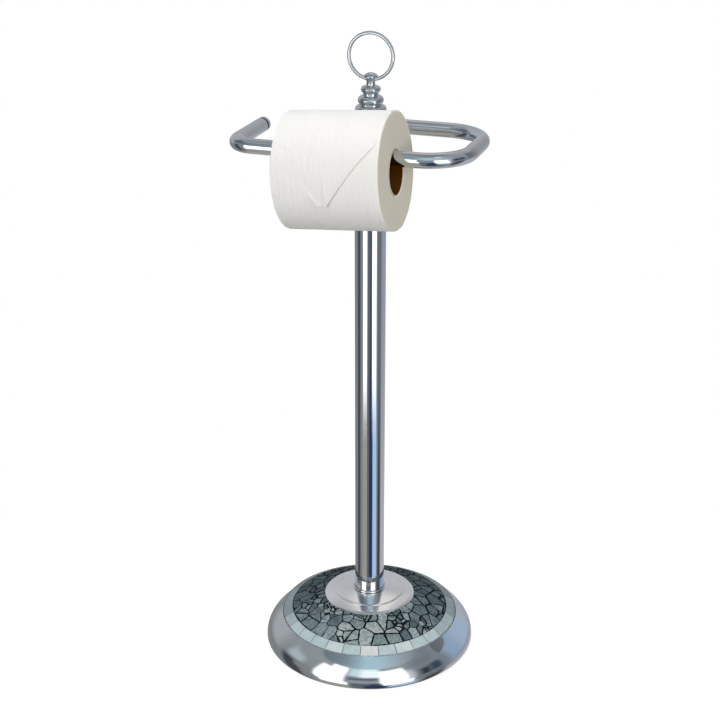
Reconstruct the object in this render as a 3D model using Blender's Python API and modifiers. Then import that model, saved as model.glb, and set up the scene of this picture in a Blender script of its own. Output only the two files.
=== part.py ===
"""Freestanding toilet paper holder: domed mosaic base, chrome pole, bent arm and a roll on it.

Metres, +Z up. The origin is on the floor under the middle of the base, the pole stands on the Z
axis, and the arm's two bars run along X with the open hook on the left.
"""
import math
import random

import bmesh
import bpy
from mathutils import Matrix, Vector

# Fits that every piece shares
GAP = 0.0003
STONE_GAP = 0.0008
OVERRUN = 0.002
MERGE = 0.00001

# Domed base, whose top follows one sphere from the pole out to the border tiles
BASE_HEIGHT = 0.0602
DOME_RADIUS = 0.180
SHELL_WALL = 0.0012
MOSAIC_OUTER_RADIUS = 0.0955
MOSAIC_DROP = 0.0017
STONE_THICKNESS = 0.0018
BED_THICKNESS = 0.0010
RIM_WIDTH = 0.0176
RIM_LAND = 0.0008
RIM_LAND_RISE = 0.0004
RIM_SHOULDER = 0.0125
RIM_SHOULDER_ANGLE = math.radians(43.6)
RIM_ROUND = 0.0113
RIM_WIDEST_HEIGHT = 0.0035
RIM_CURL = 0.0014
FLOOR_CLEARANCE = 0.0008

# Base pad and cast weight under the shell
PAD_THICKNESS = 0.0020
PAD_INSET = 0.0025
WEIGHT_INSET = 0.0040
WEIGHT_THICKNESS = 0.0120
WEIGHT_CHAMFER = 0.0015
BOSS_RADIUS = 0.0180
BOSS_FILLET = 0.0060
COUNTERBORE_RADIUS = 0.0125
COUNTERBORE_DEPTH = 0.0088

# Border tiles and crackled stones
BORDER_WIDTH = 0.0098
BORDER_TILES = 30
TILE_JOINT = 0.0006
TILE_BEVEL = 0.0003
TILE_CLEARANCE = 0.0005
STONE_ROWS = 3
STONE_COLUMNS = 31
STONE_JITTER_SHARE = 0.33
STONE_JOINT = 0.0010
STONE_RISE = 0.0006
CRACKLE_SEED = 14

# Centre plate with its raised middle
PLATE_SHARE = 0.514
PLATE_THICKNESS = 0.0014
PLATE_STEP_SHARE = 0.756
PLATE_STEP = 0.0006
PLATE_STEP_WIDTH = 0.0006
PLATE_OVERLAP = 0.0043
POLE_LAND_RADIUS = 0.0190

# Pole, its inserts and the bolt from below
POLE_RADIUS = 0.0159
POLE_WALL = 0.0012
POLE_LENGTH = 0.5325
COLLAR_WALL = 0.0013
COLLAR_HEIGHT = 0.0022
FOOT_INSERT_LENGTH = 0.0260
TOP_INSERT_LENGTH = 0.0260
TOP_INSERT_SINK = 0.0003
BOLT_RADIUS = 0.0040
BOLT_HEAD_RADIUS = 0.0075
BOLT_HEAD_HEIGHT = 0.0053
BOLT_GRIP = 0.0190
WASHER_RADIUS = 0.0110
WASHER_THICKNESS = 0.0016

# Arm, one tube bent three times
ARM_RADIUS = 0.0073
ARM_WALL = 0.0012
ARM_BELOW_TOP = 0.0113
ARM_ROOT_REACH = 0.0050
ARM_SPACING = 0.1166
ARM_RIGHT_REACH = 0.1213
ARM_LEFT_REACH = 0.0998
U_BEND_RADIUS = 0.0412
HOOK_BEND_RADIUS = 0.0211
HOOK_LEG_LENGTH = 0.0561
ROOT_PLUG_LENGTH = 0.0150
SCREW_RADIUS = 0.0025
SCREW_HEAD_RADIUS = 0.0047
SCREW_HEAD_HEIGHT = 0.0030
SCREW_GRIP = 0.0110
CAP_SPIGOT_LENGTH = 0.0120
CAP_NECK_RADIUS = 0.0056
CAP_NECK_LENGTH = 0.0020
CAP_RADIUS = 0.0070
CAP_LENGTH = 0.0070
CAP_EDGE = 0.0012
CAP_GROOVE_DEPTH = 0.0005
CAP_GROOVE_WIDTH = 0.0010

# Turned finial, heights above its own underside
FLANGE_RADIUS = 0.0156
FLANGE_EDGE_RADIUS = 0.0150
FLANGE_MIDDLE = 0.0033
FLANGE_TOP = 0.0074
LOWER_WAIST_RADIUS = 0.0112
LOWER_WAIST_TOP = 0.0094
MIDDLE_BEAD_RADIUS = 0.01275
MIDDLE_BEAD_MIDDLE = 0.0124
MIDDLE_BEAD_TOP = 0.0169
UPPER_WAIST_RADIUS = 0.0076
UPPER_WAIST_TOP = 0.0196
TOP_BEAD_RADIUS = 0.00975
TOP_BEAD_MIDDLE = 0.0234
TOP_BEAD_TOP = 0.0266
NECK_RADIUS = 0.0043
NECK_TOP = 0.0296
KNOB_RADIUS = 0.0070
KNOB_MIDDLE = 0.0349
KNOB_TOP = 0.0392
STUD_RADIUS = 0.0030
STUD_IN_FINIAL = 0.0070
STUD_IN_INSERT = 0.0070

# Ring through the finial's knob
RING_RADIUS = 0.0224
RING_WIRE_RADIUS = 0.0018
RING_BELOW_KNOB_MIDDLE = 0.0024

# Paper roll on the front bar
ROLL_WIDTH = 0.1016
ROLL_RADIUS = 0.0544
ROLL_CENTRE_X = 0.0112
ROLL_EDGE = 0.0008
ROLL_LEAN = math.radians(2.9)
CORE_BORE_RADIUS = 0.0205
CORE_WALL = 0.0010
LEAF_THICKNESS = 0.0005
LEAF_SIDE_INSET = 0.0004
LEAF_START_ANGLE = math.radians(-175.0)
LEAF_SHOULDER_ANGLE = math.radians(54.0)
LEAF_TIP_ANGLE = math.radians(112.0)
LEAF_TIP_X = -0.0050
LEAF_TIP_WIDTH = 0.0050

# Numbers of facets
BASE_STEPS = 48
WEIGHT_STEPS = 32
POLE_STEPS = 32
SMALL_STEPS = 24
ROLL_STEPS = 48
ARM_BEVEL_RESOLUTION = 6
BEND_STEPS = 9
ARC_STEPS = 4
CURVE_STEPS = 7
LEAF_COLUMNS = 2
LEAF_ROWS = 41

# Radii, heights and places that follow from the sizes above
POLE_BORE_RADIUS = POLE_RADIUS - POLE_WALL
INSERT_RADIUS = POLE_BORE_RADIUS - GAP
BOLT_HOLE_RADIUS = BOLT_RADIUS + GAP
RECESS_RADIUS = MOSAIC_OUTER_RADIUS + TILE_CLEARANCE
PLATE_RADIUS = MOSAIC_OUTER_RADIUS * PLATE_SHARE
PLATE_STEP_RADIUS = PLATE_RADIUS * PLATE_STEP_SHARE
BED_DROP = MOSAIC_DROP + STONE_THICKNESS + STONE_GAP
RECESS_DEPTH = BED_DROP + BED_THICKNESS + GAP
SEAT_RADIUS = PLATE_RADIUS - PLATE_OVERLAP - GAP
SEAT_DROP = PLATE_THICKNESS + GAP
STONE_INNER_RADIUS = PLATE_RADIUS - PLATE_OVERLAP + GAP
STONE_OUTER_RADIUS = MOSAIC_OUTER_RADIUS - BORDER_WIDTH - TILE_JOINT
RIM_RADIUS = MOSAIC_OUTER_RADIUS + TILE_CLEARANCE + RIM_LAND + RIM_WIDTH
WEIGHT_RADIUS = MOSAIC_OUTER_RADIUS - WEIGHT_INSET
WEIGHT_BOTTOM = PAD_THICKNESS + GAP
WASHER_TOP = WEIGHT_BOTTOM + COUNTERBORE_DEPTH - GAP
BOLT_HEAD_TOP = WASHER_TOP - WASHER_THICKNESS - GAP
ARM_BORE_RADIUS = ARM_RADIUS - ARM_WALL
ARM_PLUG_RADIUS = ARM_BORE_RADIUS - GAP
SCREW_HOLE_RADIUS = SCREW_RADIUS + GAP
STUD_HOLE_RADIUS = STUD_RADIUS + GAP
CORE_OUTER_RADIUS = CORE_BORE_RADIUS + CORE_WALL
PAPER_BORE_RADIUS = CORE_OUTER_RADIUS + GAP


def dome_height(radius):
    """Height of the base's sphere at a distance from the pole's axis."""
    return BASE_HEIGHT - DOME_RADIUS + math.sqrt(DOME_RADIUS ** 2 - radius ** 2)


def dome_wall_height(radius):
    """Upright thickness of the shell's wall where the dome slopes."""
    return SHELL_WALL * DOME_RADIUS / math.sqrt(DOME_RADIUS ** 2 - radius ** 2)


POLE_FOOT = dome_height(POLE_LAND_RADIUS) + GAP
POLE_TOP = POLE_FOOT + POLE_LENGTH
ARM_HEIGHT = POLE_TOP - ARM_BELOW_TOP
FINIAL_BOTTOM = POLE_TOP + GAP
ROLL_HEIGHT = ARM_HEIGHT + ARM_RADIUS + GAP - CORE_BORE_RADIUS
KNOB_RING_HEIGHT = FINIAL_BOTTOM + KNOB_MIDDLE - RING_BELOW_KNOB_MIDDLE


def clear_scene():
    """Remove every object that the new file starts with."""
    for thing in list(bpy.data.objects):
        bpy.data.objects.remove(thing, do_unlink=True)


def new_collection(name):
    """Collection of the given name, linked to the scene."""
    collection = bpy.data.collections.new(name)
    bpy.context.scene.collection.children.link(collection)
    return collection


def new_material(name, colour, metallic, roughness):
    """Principled material with one linear colour."""
    material = bpy.data.materials.new(name)
    material.use_nodes = True
    shader = material.node_tree.nodes["Principled BSDF"]
    shader.inputs["Base Color"].default_value = (*colour, 1.0)
    shader.inputs["Metallic"].default_value = metallic
    shader.inputs["Roughness"].default_value = roughness
    material.diffuse_color = (*colour, 1.0)
    return material


def new_object(name, mesh, material=None):
    """Object of a mesh in the parts' collection, with its material."""
    thing = bpy.data.objects.new(name, mesh)
    PARTS.objects.link(thing)
    if material:
        mesh.materials.append(material)
    return thing


def mesh_from_bmesh(name, bm):
    """Mesh of a finished bmesh, with its faces pointing out and its round sides smooth."""
    bmesh.ops.recalc_face_normals(bm, faces=bm.faces[:])
    mesh = bpy.data.meshes.new(name)
    bm.to_mesh(mesh)
    bm.free()
    mesh.shade_smooth()
    mesh.set_sharp_from_angle(angle=math.radians(35.0))
    return mesh


def turned_mesh(name, profile, closed):
    """Mesh of a profile of (radius, height) points in the XZ plane, which Screw turns."""
    mesh = bpy.data.meshes.new(name)
    corners = [(radius, 0.0, height) for radius, height in profile]
    edges = [(index, index + 1) for index in range(len(corners) - 1)]
    if closed:
        edges.append((len(corners) - 1, 0))
    mesh.from_pydata(corners, edges, [])
    return mesh


def turned_part(name, profile, material, steps, closed=True):
    """Piece turned about the Z axis from a profile that runs outwards on top and down outside."""
    thing = new_object(name, turned_mesh(name, profile, closed), material)
    screw = thing.modifiers.new("Turn", "SCREW")
    screw.steps = steps
    screw.render_steps = steps
    screw.use_merge_vertices = True
    screw.merge_threshold = MERGE
    screw.use_smooth_shade = True
    return thing


def make_cutter(thing):
    """Move an object to the cutters' collection, where it isn't drawn."""
    PARTS.objects.unlink(thing)
    CUTTERS.objects.link(thing)
    thing.hide_render = True
    thing.display_type = "WIRE"
    return thing


def cut(thing, cutter, operation="DIFFERENCE"):
    """Cut one object by another, or join the other to it."""
    modifier = thing.modifiers.new(cutter.name, "BOOLEAN")
    modifier.operation = operation
    modifier.object = cutter
    modifier.solver = "EXACT"


def rod(name, radius, start, end, material=None, sides=SMALL_STEPS):
    """Round or six-sided rod between two points."""
    start = Vector(start)
    run = Vector(end) - start
    bm = bmesh.new()
    turn = run.to_track_quat("Z", "Y").to_matrix().to_4x4()
    place = Matrix.Translation(start + run / 2) @ turn
    bmesh.ops.create_cone(bm, cap_ends=True, segments=sides, radius1=radius, radius2=radius,
                          depth=run.length, matrix=place)
    return new_object(name, mesh_from_bmesh(name, bm), material)


def quarter(start, end, round_at_start, steps=ARC_STEPS):
    """Points of a quarter ellipse from start to end, which leaves start upright or level."""
    points = []
    for index in range(1, steps + 1):
        angle = math.pi / 2 * index / steps
        along_radius = 1 - math.cos(angle) if round_at_start else math.sin(angle)
        along_height = math.sin(angle) if round_at_start else 1 - math.cos(angle)
        radius = start[0] + (end[0] - start[0]) * along_radius
        height = start[1] + (end[1] - start[1]) * along_height
        points.append((radius, height))
    return points


def dome_points(inner, outer, drop, count):
    """Points on the sphere, lowered by drop, from one radius to another."""
    radii = [inner + (outer - inner) * index / (count - 1) for index in range(count)]
    return [(radius, dome_height(radius) - drop) for radius in radii]


def rim_controls():
    """Control points of the rim's curve, from the tiles' land down to the widest circle."""
    start_radius = RECESS_RADIUS + RIM_LAND
    start = Vector((start_radius, dome_height(start_radius) - MOSAIC_DROP + RIM_LAND_RISE))
    run = Vector((math.cos(RIM_SHOULDER_ANGLE), -math.sin(RIM_SHOULDER_ANGLE)))
    end = Vector((RIM_RADIUS, RIM_WIDEST_HEIGHT))
    return start, start + RIM_SHOULDER * run, end + Vector((0.0, RIM_ROUND)), end


def rim_point(part_way, inset):
    """Point on the rim's curve, or inside it by inset along the curve's normal."""
    a, b, c, d = rim_controls()
    t = part_way
    point = (1 - t) ** 3 * a + 3 * (1 - t) ** 2 * t * b + 3 * (1 - t) * t ** 2 * c + t ** 3 * d
    run = 3 * (1 - t) ** 2 * (b - a) + 6 * (1 - t) * t * (c - b) + 3 * t ** 2 * (d - c)
    run.normalize()
    return (point.x + run.y * inset, point.y - run.x * inset)


def base_shell():
    """Spun steel shell: plate seat, mosaic recess and the rounded outer rim."""
    profile = dome_points(BOLT_HOLE_RADIUS, SEAT_RADIUS, SEAT_DROP, 3)
    profile += dome_points(SEAT_RADIUS, RECESS_RADIUS, RECESS_DEPTH, 4)
    land_height = rim_controls()[0].y
    profile.append((RECESS_RADIUS, land_height))
    profile += [rim_point(index / CURVE_STEPS, 0.0) for index in range(CURVE_STEPS + 1)]
    lip = (RIM_RADIUS - RIM_CURL, FLOOR_CLEARANCE)
    profile += quarter(profile[-1], lip, True, 3)
    profile.append((RIM_RADIUS - RIM_CURL - SHELL_WALL, FLOOR_CLEARANCE + SHELL_WALL / 2))
    profile += [rim_point(1 - index / CURVE_STEPS, SHELL_WALL) for index in (0, 2, 4, 5)]
    for radius in (RECESS_RADIUS, (RECESS_RADIUS + SEAT_RADIUS) / 2, SEAT_RADIUS - SHELL_WALL):
        profile.append((radius, dome_height(radius) - RECESS_DEPTH - dome_wall_height(radius)))
    for radius in (SEAT_RADIUS - SHELL_WALL, BOSS_RADIUS, BOLT_HOLE_RADIUS):
        profile.append((radius, dome_height(radius) - SEAT_DROP - dome_wall_height(radius)))
    return turned_part("base_shell", profile, CHROME, BASE_STEPS)


def base_weight():
    """Cast disc with a boss up to the shell and a counterbore for the bolt's head."""
    top = WEIGHT_BOTTOM + WEIGHT_THICKNESS
    boss_top = dome_height(BOSS_RADIUS) - SEAT_DROP - dome_wall_height(BOSS_RADIUS) - GAP
    counterbore_top = WEIGHT_BOTTOM + COUNTERBORE_DEPTH
    profile = [(BOLT_HOLE_RADIUS, boss_top), (BOSS_RADIUS, boss_top), (BOSS_RADIUS, top + BOSS_FILLET)]
    profile += quarter(profile[-1], (BOSS_RADIUS + BOSS_FILLET, top), True, 3)
    profile.append((WEIGHT_RADIUS - WEIGHT_CHAMFER, top))
    profile.append((WEIGHT_RADIUS, top - WEIGHT_CHAMFER))
    profile.append((WEIGHT_RADIUS, WEIGHT_BOTTOM))
    profile.append((COUNTERBORE_RADIUS, WEIGHT_BOTTOM))
    profile.append((COUNTERBORE_RADIUS, counterbore_top))
    profile.append((BOLT_HOLE_RADIUS, counterbore_top))
    return turned_part("base_weight", profile, CAST_IRON, WEIGHT_STEPS)


def base_pad():
    """Foam disc glued under the weight, on which the holder stands."""
    outer = WEIGHT_RADIUS - PAD_INSET
    profile = [(0.0, PAD_THICKNESS), (outer, PAD_THICKNESS), (outer, 0.0), (0.0, 0.0)]
    return turned_part("base_pad", profile, FOAM, WEIGHT_STEPS, closed=False)


def mosaic_bed():
    """Dark mortar ring under the stones and the border tiles."""
    outer = MOSAIC_OUTER_RADIUS
    profile = dome_points(STONE_INNER_RADIUS, outer, BED_DROP, 4)
    underside = dome_points(STONE_INNER_RADIUS, outer, BED_DROP + BED_THICKNESS, 4)
    profile += underside[::-1]
    return turned_part("mosaic_bed", profile, MORTAR, BASE_STEPS)


def centre_plate():
    """Stamped plate with a raised middle, a flat land for the pole and a hole for the bolt."""
    land = dome_height(POLE_LAND_RADIUS)
    profile = [(BOLT_HOLE_RADIUS, land)]
    profile += dome_points(POLE_LAND_RADIUS, PLATE_STEP_RADIUS - PLATE_STEP_WIDTH, 0.0, 3)
    profile += dome_points(PLATE_STEP_RADIUS, PLATE_RADIUS - PLATE_STEP, PLATE_STEP, 3)
    profile.append((PLATE_RADIUS, dome_height(PLATE_RADIUS) - PLATE_STEP * 1.5))
    underside = dome_points(BOLT_HOLE_RADIUS, PLATE_RADIUS, PLATE_THICKNESS, 4)
    profile += underside[::-1]
    return turned_part("centre_plate", profile, SATIN_STEEL, BASE_STEPS)


def clip(polygon, point, normal):
    """Part of a flat polygon that lies behind the line through a point."""
    kept = []
    for here, after in zip(polygon, polygon[1:] + polygon[:1]):
        side_here = (here - point).dot(normal)
        side_after = (after - point).dot(normal)
        if side_here <= 0:
            kept.append(here)
        if (side_here < 0 < side_after) or (side_after < 0 < side_here):
            kept.append(here.lerp(after, side_here / (side_here - side_after)))
    return kept


def crackle_cells():
    """Outlines of the broken stones: each is the ground nearest to its own scattered centre.

    They are drawn on a strip of turn angle against log radius, which keeps their shapes when the
    strip is rolled into the ring.
    """
    dice = random.Random(CRACKLE_SEED)
    height = math.log(STONE_OUTER_RADIUS / STONE_INNER_RADIUS)
    turn = 2 * math.pi
    centres = []
    for row in range(STONE_ROWS):
        for column in range(STONE_COLUMNS):
            across = (column + row / 2 + dice.uniform(-1, 1) * STONE_JITTER_SHARE) / STONE_COLUMNS
            up = (row + 0.5 + dice.uniform(-1, 1) * STONE_JITTER_SHARE) / STONE_ROWS
            centres.append(Vector((across * turn, up * height)))
    reach = 3 * turn / STONE_COLUMNS
    cells = []
    for centre in centres:
        low, high = centre.x - reach, centre.x + reach
        cell = [Vector((low, 0)), Vector((high, 0)), Vector((high, height)), Vector((low, height))]
        for other in centres:
            for shift in (-turn, 0, turn):
                moved = other + Vector((shift, 0))
                away = moved - centre
                if 0 < away.length < 2 * reach:
                    cell = clip(cell, (centre + moved) / 2, away)
        cells.append(cell)
    return cells


def crackle_mosaic():
    """Ring of crackled stones raised from one backing, with joints between them."""
    bm = bmesh.new()
    for cell in crackle_cells():
        corners = []
        for corner in cell:
            radius = STONE_INNER_RADIUS * math.exp(corner.y)
            corners.append(bm.verts.new((radius * math.cos(corner.x), radius * math.sin(corner.x), 0)))
        bm.faces.new(corners)
    bmesh.ops.remove_doubles(bm, verts=bm.verts[:], dist=MERGE)
    bottom = bm.faces[:]
    grown = bmesh.ops.extrude_face_region(bm, geom=bottom, use_keep_orig=True)["geom"]
    stones = [piece for piece in grown if isinstance(piece, bmesh.types.BMFace)]
    top_corners = {piece for piece in grown if isinstance(piece, bmesh.types.BMVert)}
    for corner in bm.verts:
        drop = MOSAIC_DROP + STONE_RISE if corner in top_corners else MOSAIC_DROP + STONE_THICKNESS
        corner.co.z = dome_height(corner.co.xy.length) - drop
    bmesh.ops.inset_individual(bm, faces=stones, thickness=STONE_JOINT / 2, depth=0.0,
                               use_even_offset=True)
    for corner in {corner for stone in stones for corner in stone.verts}:
        corner.co.z = dome_height(corner.co.xy.length) - MOSAIC_DROP
    return new_object("crackle_mosaic", mesh_from_bmesh("crackle_mosaic", bm), STONE)


def tile_mesh():
    """Border tile on the dome, centred on the +X direction, with softened upper edges."""
    inner = MOSAIC_OUTER_RADIUS - BORDER_WIDTH
    half_turn = math.pi / BORDER_TILES - TILE_JOINT / (2 * MOSAIC_OUTER_RADIUS)
    bm = bmesh.new()
    bmesh.ops.create_grid(bm, x_segments=1, y_segments=3, size=0.5)
    for corner in bm.verts:
        radius = inner + BORDER_WIDTH * (corner.co.x + 0.5)
        angle = 2 * half_turn * corner.co.y
        corner.co = Vector((radius * math.cos(angle), radius * math.sin(angle), 0))
    lower = bm.verts[:]
    grown = bmesh.ops.extrude_face_region(bm, geom=bm.faces[:], use_keep_orig=True)["geom"]
    upper = [piece for piece in grown if isinstance(piece, bmesh.types.BMVert)]
    for corner in lower:
        corner.co.z = dome_height(corner.co.xy.length) - BED_DROP + GAP
    for corner in upper:
        corner.co.z = dome_height(corner.co.xy.length) - MOSAIC_DROP
    bmesh.ops.recalc_face_normals(bm, faces=bm.faces[:])
    top = set(upper)
    rim = [edge for edge in bm.edges
           if top.issuperset(edge.verts) and edge.calc_face_angle() > math.radians(60.0)]
    bmesh.ops.bevel(bm, geom=rim, offset=TILE_BEVEL, segments=1, affect="EDGES", clamp_overlap=True)
    return mesh_from_bmesh("border_tile", bm)


def border_tiles():
    """Ring of glass tiles, one object each, which share a mesh."""
    mesh = tile_mesh()
    mesh.materials.append(TILE_GLASS)
    for index in range(BORDER_TILES):
        tile = new_object(f"border_tile_{index + 1:02d}", mesh)
        tile.rotation_euler.z = 2 * math.pi * index / BORDER_TILES


def pole_tube():
    """Straight steel tube, with the arm's hole on its right and the screw's on its left."""
    profile = [(POLE_BORE_RADIUS, POLE_TOP), (POLE_RADIUS, POLE_TOP)]
    profile += [(POLE_RADIUS, POLE_FOOT), (POLE_BORE_RADIUS, POLE_FOOT)]
    tube = turned_part("pole_tube", profile, CHROME, POLE_STEPS)
    right = (POLE_RADIUS + OVERRUN, 0, ARM_HEIGHT)
    left = (-POLE_RADIUS - OVERRUN, 0, ARM_HEIGHT)
    middle = (0, 0, ARM_HEIGHT)
    cut(tube, make_cutter(rod("pole_arm_hole", ARM_RADIUS + GAP, middle, right)))
    cut(tube, make_cutter(rod("pole_screw_hole", SCREW_HOLE_RADIUS, left, middle)))
    return tube


def pole_collar():
    """Thin rounded ring that covers the joint between the pole and the plate."""
    inner = POLE_RADIUS + GAP
    outer = inner + COLLAR_WALL
    middle = POLE_FOOT + COLLAR_HEIGHT / 2
    top = POLE_FOOT + COLLAR_HEIGHT
    profile = [(inner, top)]
    profile += quarter((inner + COLLAR_WALL / 3, top), (outer, middle), False, 3)
    profile += quarter((outer, middle), (inner + COLLAR_WALL / 3, POLE_FOOT), True, 3)
    profile.append((inner, POLE_FOOT))
    return turned_part("pole_collar", profile, CHROME, POLE_STEPS)


def pole_foot_insert():
    """Threaded plug pressed into the pole's foot."""
    top = POLE_FOOT + FOOT_INSERT_LENGTH
    profile = [(BOLT_HOLE_RADIUS, top), (INSERT_RADIUS, top)]
    profile += [(INSERT_RADIUS, POLE_FOOT), (BOLT_HOLE_RADIUS, POLE_FOOT)]
    return turned_part("pole_foot_insert", profile, ZINC, SMALL_STEPS)


def base_bolt():
    """Six-sided bolt from under the weight up into the pole's foot."""
    head_bottom = BOLT_HEAD_TOP - BOLT_HEAD_HEIGHT
    overlap = BOLT_HEAD_TOP - BOLT_HEAD_HEIGHT / 2
    bolt = rod("base_bolt", BOLT_HEAD_RADIUS, (0, 0, head_bottom), (0, 0, BOLT_HEAD_TOP), ZINC, 6)
    shank_top = POLE_FOOT + BOLT_GRIP
    cut(bolt, make_cutter(rod("bolt_shank", BOLT_RADIUS, (0, 0, overlap), (0, 0, shank_top))), "UNION")
    return bolt


def base_washer():
    """Flat washer between the bolt's head and the weight."""
    bottom = WASHER_TOP - WASHER_THICKNESS
    profile = [(BOLT_HOLE_RADIUS, WASHER_TOP), (WASHER_RADIUS, WASHER_TOP)]
    profile += [(WASHER_RADIUS, bottom), (BOLT_HOLE_RADIUS, bottom)]
    return turned_part("base_washer", profile, ZINC, SMALL_STEPS)


def pole_top_insert():
    """Plug in the pole's top, bored across for the arm and its screw and down for the stud."""
    top = POLE_TOP - TOP_INSERT_SINK
    insert = rod("pole_top_insert", INSERT_RADIUS, (0, 0, top - TOP_INSERT_LENGTH), (0, 0, top), ZINC)
    arm_end = (ARM_ROOT_REACH - GAP, 0, ARM_HEIGHT)
    right = (POLE_RADIUS + OVERRUN, 0, ARM_HEIGHT)
    left = (-POLE_RADIUS - OVERRUN, 0, ARM_HEIGHT)
    inside = (ARM_ROOT_REACH + OVERRUN, 0, ARM_HEIGHT)
    stud_end = (0, 0, FINIAL_BOTTOM - STUD_IN_INSERT - GAP)
    above = (0, 0, POLE_TOP + OVERRUN)
    cut(insert, make_cutter(rod("insert_arm_bore", ARM_RADIUS + GAP, arm_end, right)))
    cut(insert, make_cutter(rod("insert_screw_bore", SCREW_HOLE_RADIUS, left, inside)))
    cut(insert, make_cutter(rod("insert_stud_bore", STUD_HOLE_RADIUS, stud_end, above)))
    return insert


def finial_profile():
    """Finial's outline from the knob's top down to the flange's underside, about its own foot."""
    profile = [(0.0, KNOB_TOP)]
    profile += quarter((0.0, KNOB_TOP), (KNOB_RADIUS, KNOB_MIDDLE), False, 5)
    profile += quarter(profile[-1], (NECK_RADIUS, NECK_TOP), False, 3)
    profile.append((NECK_RADIUS, TOP_BEAD_TOP))
    profile += quarter(profile[-1], (TOP_BEAD_RADIUS, TOP_BEAD_MIDDLE), False, 3)
    profile += quarter(profile[-1], (UPPER_WAIST_RADIUS, UPPER_WAIST_TOP), True, 2)
    profile.append((UPPER_WAIST_RADIUS, MIDDLE_BEAD_TOP))
    profile += quarter(profile[-1], (MIDDLE_BEAD_RADIUS, MIDDLE_BEAD_MIDDLE), False)
    profile += quarter(profile[-1], (LOWER_WAIST_RADIUS, LOWER_WAIST_TOP), True, 2)
    profile.append((LOWER_WAIST_RADIUS, FLANGE_TOP))
    profile += quarter(profile[-1], (FLANGE_RADIUS, FLANGE_MIDDLE), False)
    profile.append((FLANGE_EDGE_RADIUS, 0.0))
    profile.append((0.0, 0.0))
    return profile


def carry_ring_mesh(name, wire_radius, turns, sides):
    """Closed wire ring that stands in the XZ plane through the knob."""
    bpy.ops.mesh.primitive_torus_add(major_segments=turns, minor_segments=sides,
                                     major_radius=RING_RADIUS, minor_radius=wire_radius)
    loose = bpy.context.object
    mesh = loose.data
    mesh.name = name
    bpy.data.objects.remove(loose)
    mesh.transform(Matrix.Rotation(math.pi / 2, 4, "X"))
    mesh.shade_smooth()
    return mesh


def finial():
    """Turned finial with three beads, a neck and a knob that the ring passes through."""
    thing = turned_part("finial", finial_profile(), CHROME, POLE_STEPS, closed=False)
    thing.location.z = FINIAL_BOTTOM
    stud_top = (0, 0, FINIAL_BOTTOM + STUD_IN_FINIAL + GAP)
    below = (0, 0, FINIAL_BOTTOM - OVERRUN)
    cut(thing, make_cutter(rod("finial_stud_bore", STUD_HOLE_RADIUS, below, stud_top)))
    ring_mesh = carry_ring_mesh("knob_ring_hole", RING_WIRE_RADIUS + GAP, 40, 8)
    ring_hole = new_object("knob_ring_hole", ring_mesh)
    ring_hole.location.z = KNOB_RING_HEIGHT + RING_RADIUS
    cut(thing, make_cutter(ring_hole))
    return thing


def finial_stud():
    """Threaded stud that holds the finial on the pole."""
    bottom = (0, 0, FINIAL_BOTTOM - STUD_IN_INSERT)
    top = (0, 0, FINIAL_BOTTOM + STUD_IN_FINIAL)
    return rod("finial_stud", STUD_RADIUS, bottom, top, ZINC, 12)


def carry_ring():
    """Wire ring brazed through the knob, to lift the holder by."""
    ring = new_object("carry_ring", carry_ring_mesh("carry_ring", RING_WIRE_RADIUS, 40, 8), CHROME)
    ring.location.z = KNOB_RING_HEIGHT + RING_RADIUS
    return ring


def bend(centre, radius, start_angle, turn_angle):
    """Points of one bend of the arm, in the level plane of its axis."""
    points = []
    for index in range(BEND_STEPS + 1):
        angle = start_angle + turn_angle * index / BEND_STEPS
        points.append((centre[0] + radius * math.cos(angle), centre[1] + radius * math.sin(angle)))
    return points


def arm_route():
    """Arm's axis from inside the pole, round the U and along the front bar to the hook's end."""
    right = ARM_RIGHT_REACH - U_BEND_RADIUS
    left = HOOK_BEND_RADIUS - ARM_LEFT_REACH
    route = [(ARM_ROOT_REACH, 0.0)]
    route += bend((right, -U_BEND_RADIUS), U_BEND_RADIUS, math.pi / 2, -math.pi / 2)
    route += bend((right, U_BEND_RADIUS - ARM_SPACING), U_BEND_RADIUS, 0.0, -math.pi / 2)
    route += bend((left, HOOK_BEND_RADIUS - ARM_SPACING), HOOK_BEND_RADIUS, -math.pi / 2, -math.pi / 2)
    route.append((-ARM_LEFT_REACH, HOOK_BEND_RADIUS - ARM_SPACING + HOOK_LEG_LENGTH))
    return route


def arm_tube():
    """Bent steel tube, open at both ends, with a thin wall."""
    curve = bpy.data.curves.new("arm_route", "CURVE")
    curve.dimensions = "3D"
    curve.bevel_depth = ARM_RADIUS
    curve.bevel_resolution = ARM_BEVEL_RESOLUTION
    route = arm_route()
    spline = curve.splines.new("POLY")
    spline.points.add(len(route) - 1)
    for point, (x, y) in zip(spline.points, route):
        point.co = (x, y, ARM_HEIGHT, 1.0)
    spline.use_smooth = True
    loose = new_object("arm_route", curve)
    graph = bpy.context.evaluated_depsgraph_get()
    mesh = bpy.data.meshes.new_from_object(loose.evaluated_get(graph))
    mesh.name = "arm_tube"
    bpy.data.objects.remove(loose)
    tube = new_object("arm_tube", mesh, CHROME)
    wall = tube.modifiers.new("Wall", "SOLIDIFY")
    wall.thickness = ARM_WALL
    wall.offset = -1.0
    wall.use_even_offset = True
    return tube


def arm_root_plug():
    """Threaded plug in the end of the arm inside the pole."""
    start = (ARM_ROOT_REACH, 0, ARM_HEIGHT)
    end = (ARM_ROOT_REACH + ROOT_PLUG_LENGTH, 0, ARM_HEIGHT)
    plug = rod("arm_root_plug", ARM_PLUG_RADIUS, start, end, ZINC, 16)
    before = (ARM_ROOT_REACH - OVERRUN, 0, ARM_HEIGHT)
    after = (ARM_ROOT_REACH + ROOT_PLUG_LENGTH + OVERRUN, 0, ARM_HEIGHT)
    cut(plug, make_cutter(rod("plug_thread", SCREW_HOLE_RADIUS, before, after, None, 12)))
    return plug


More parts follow.
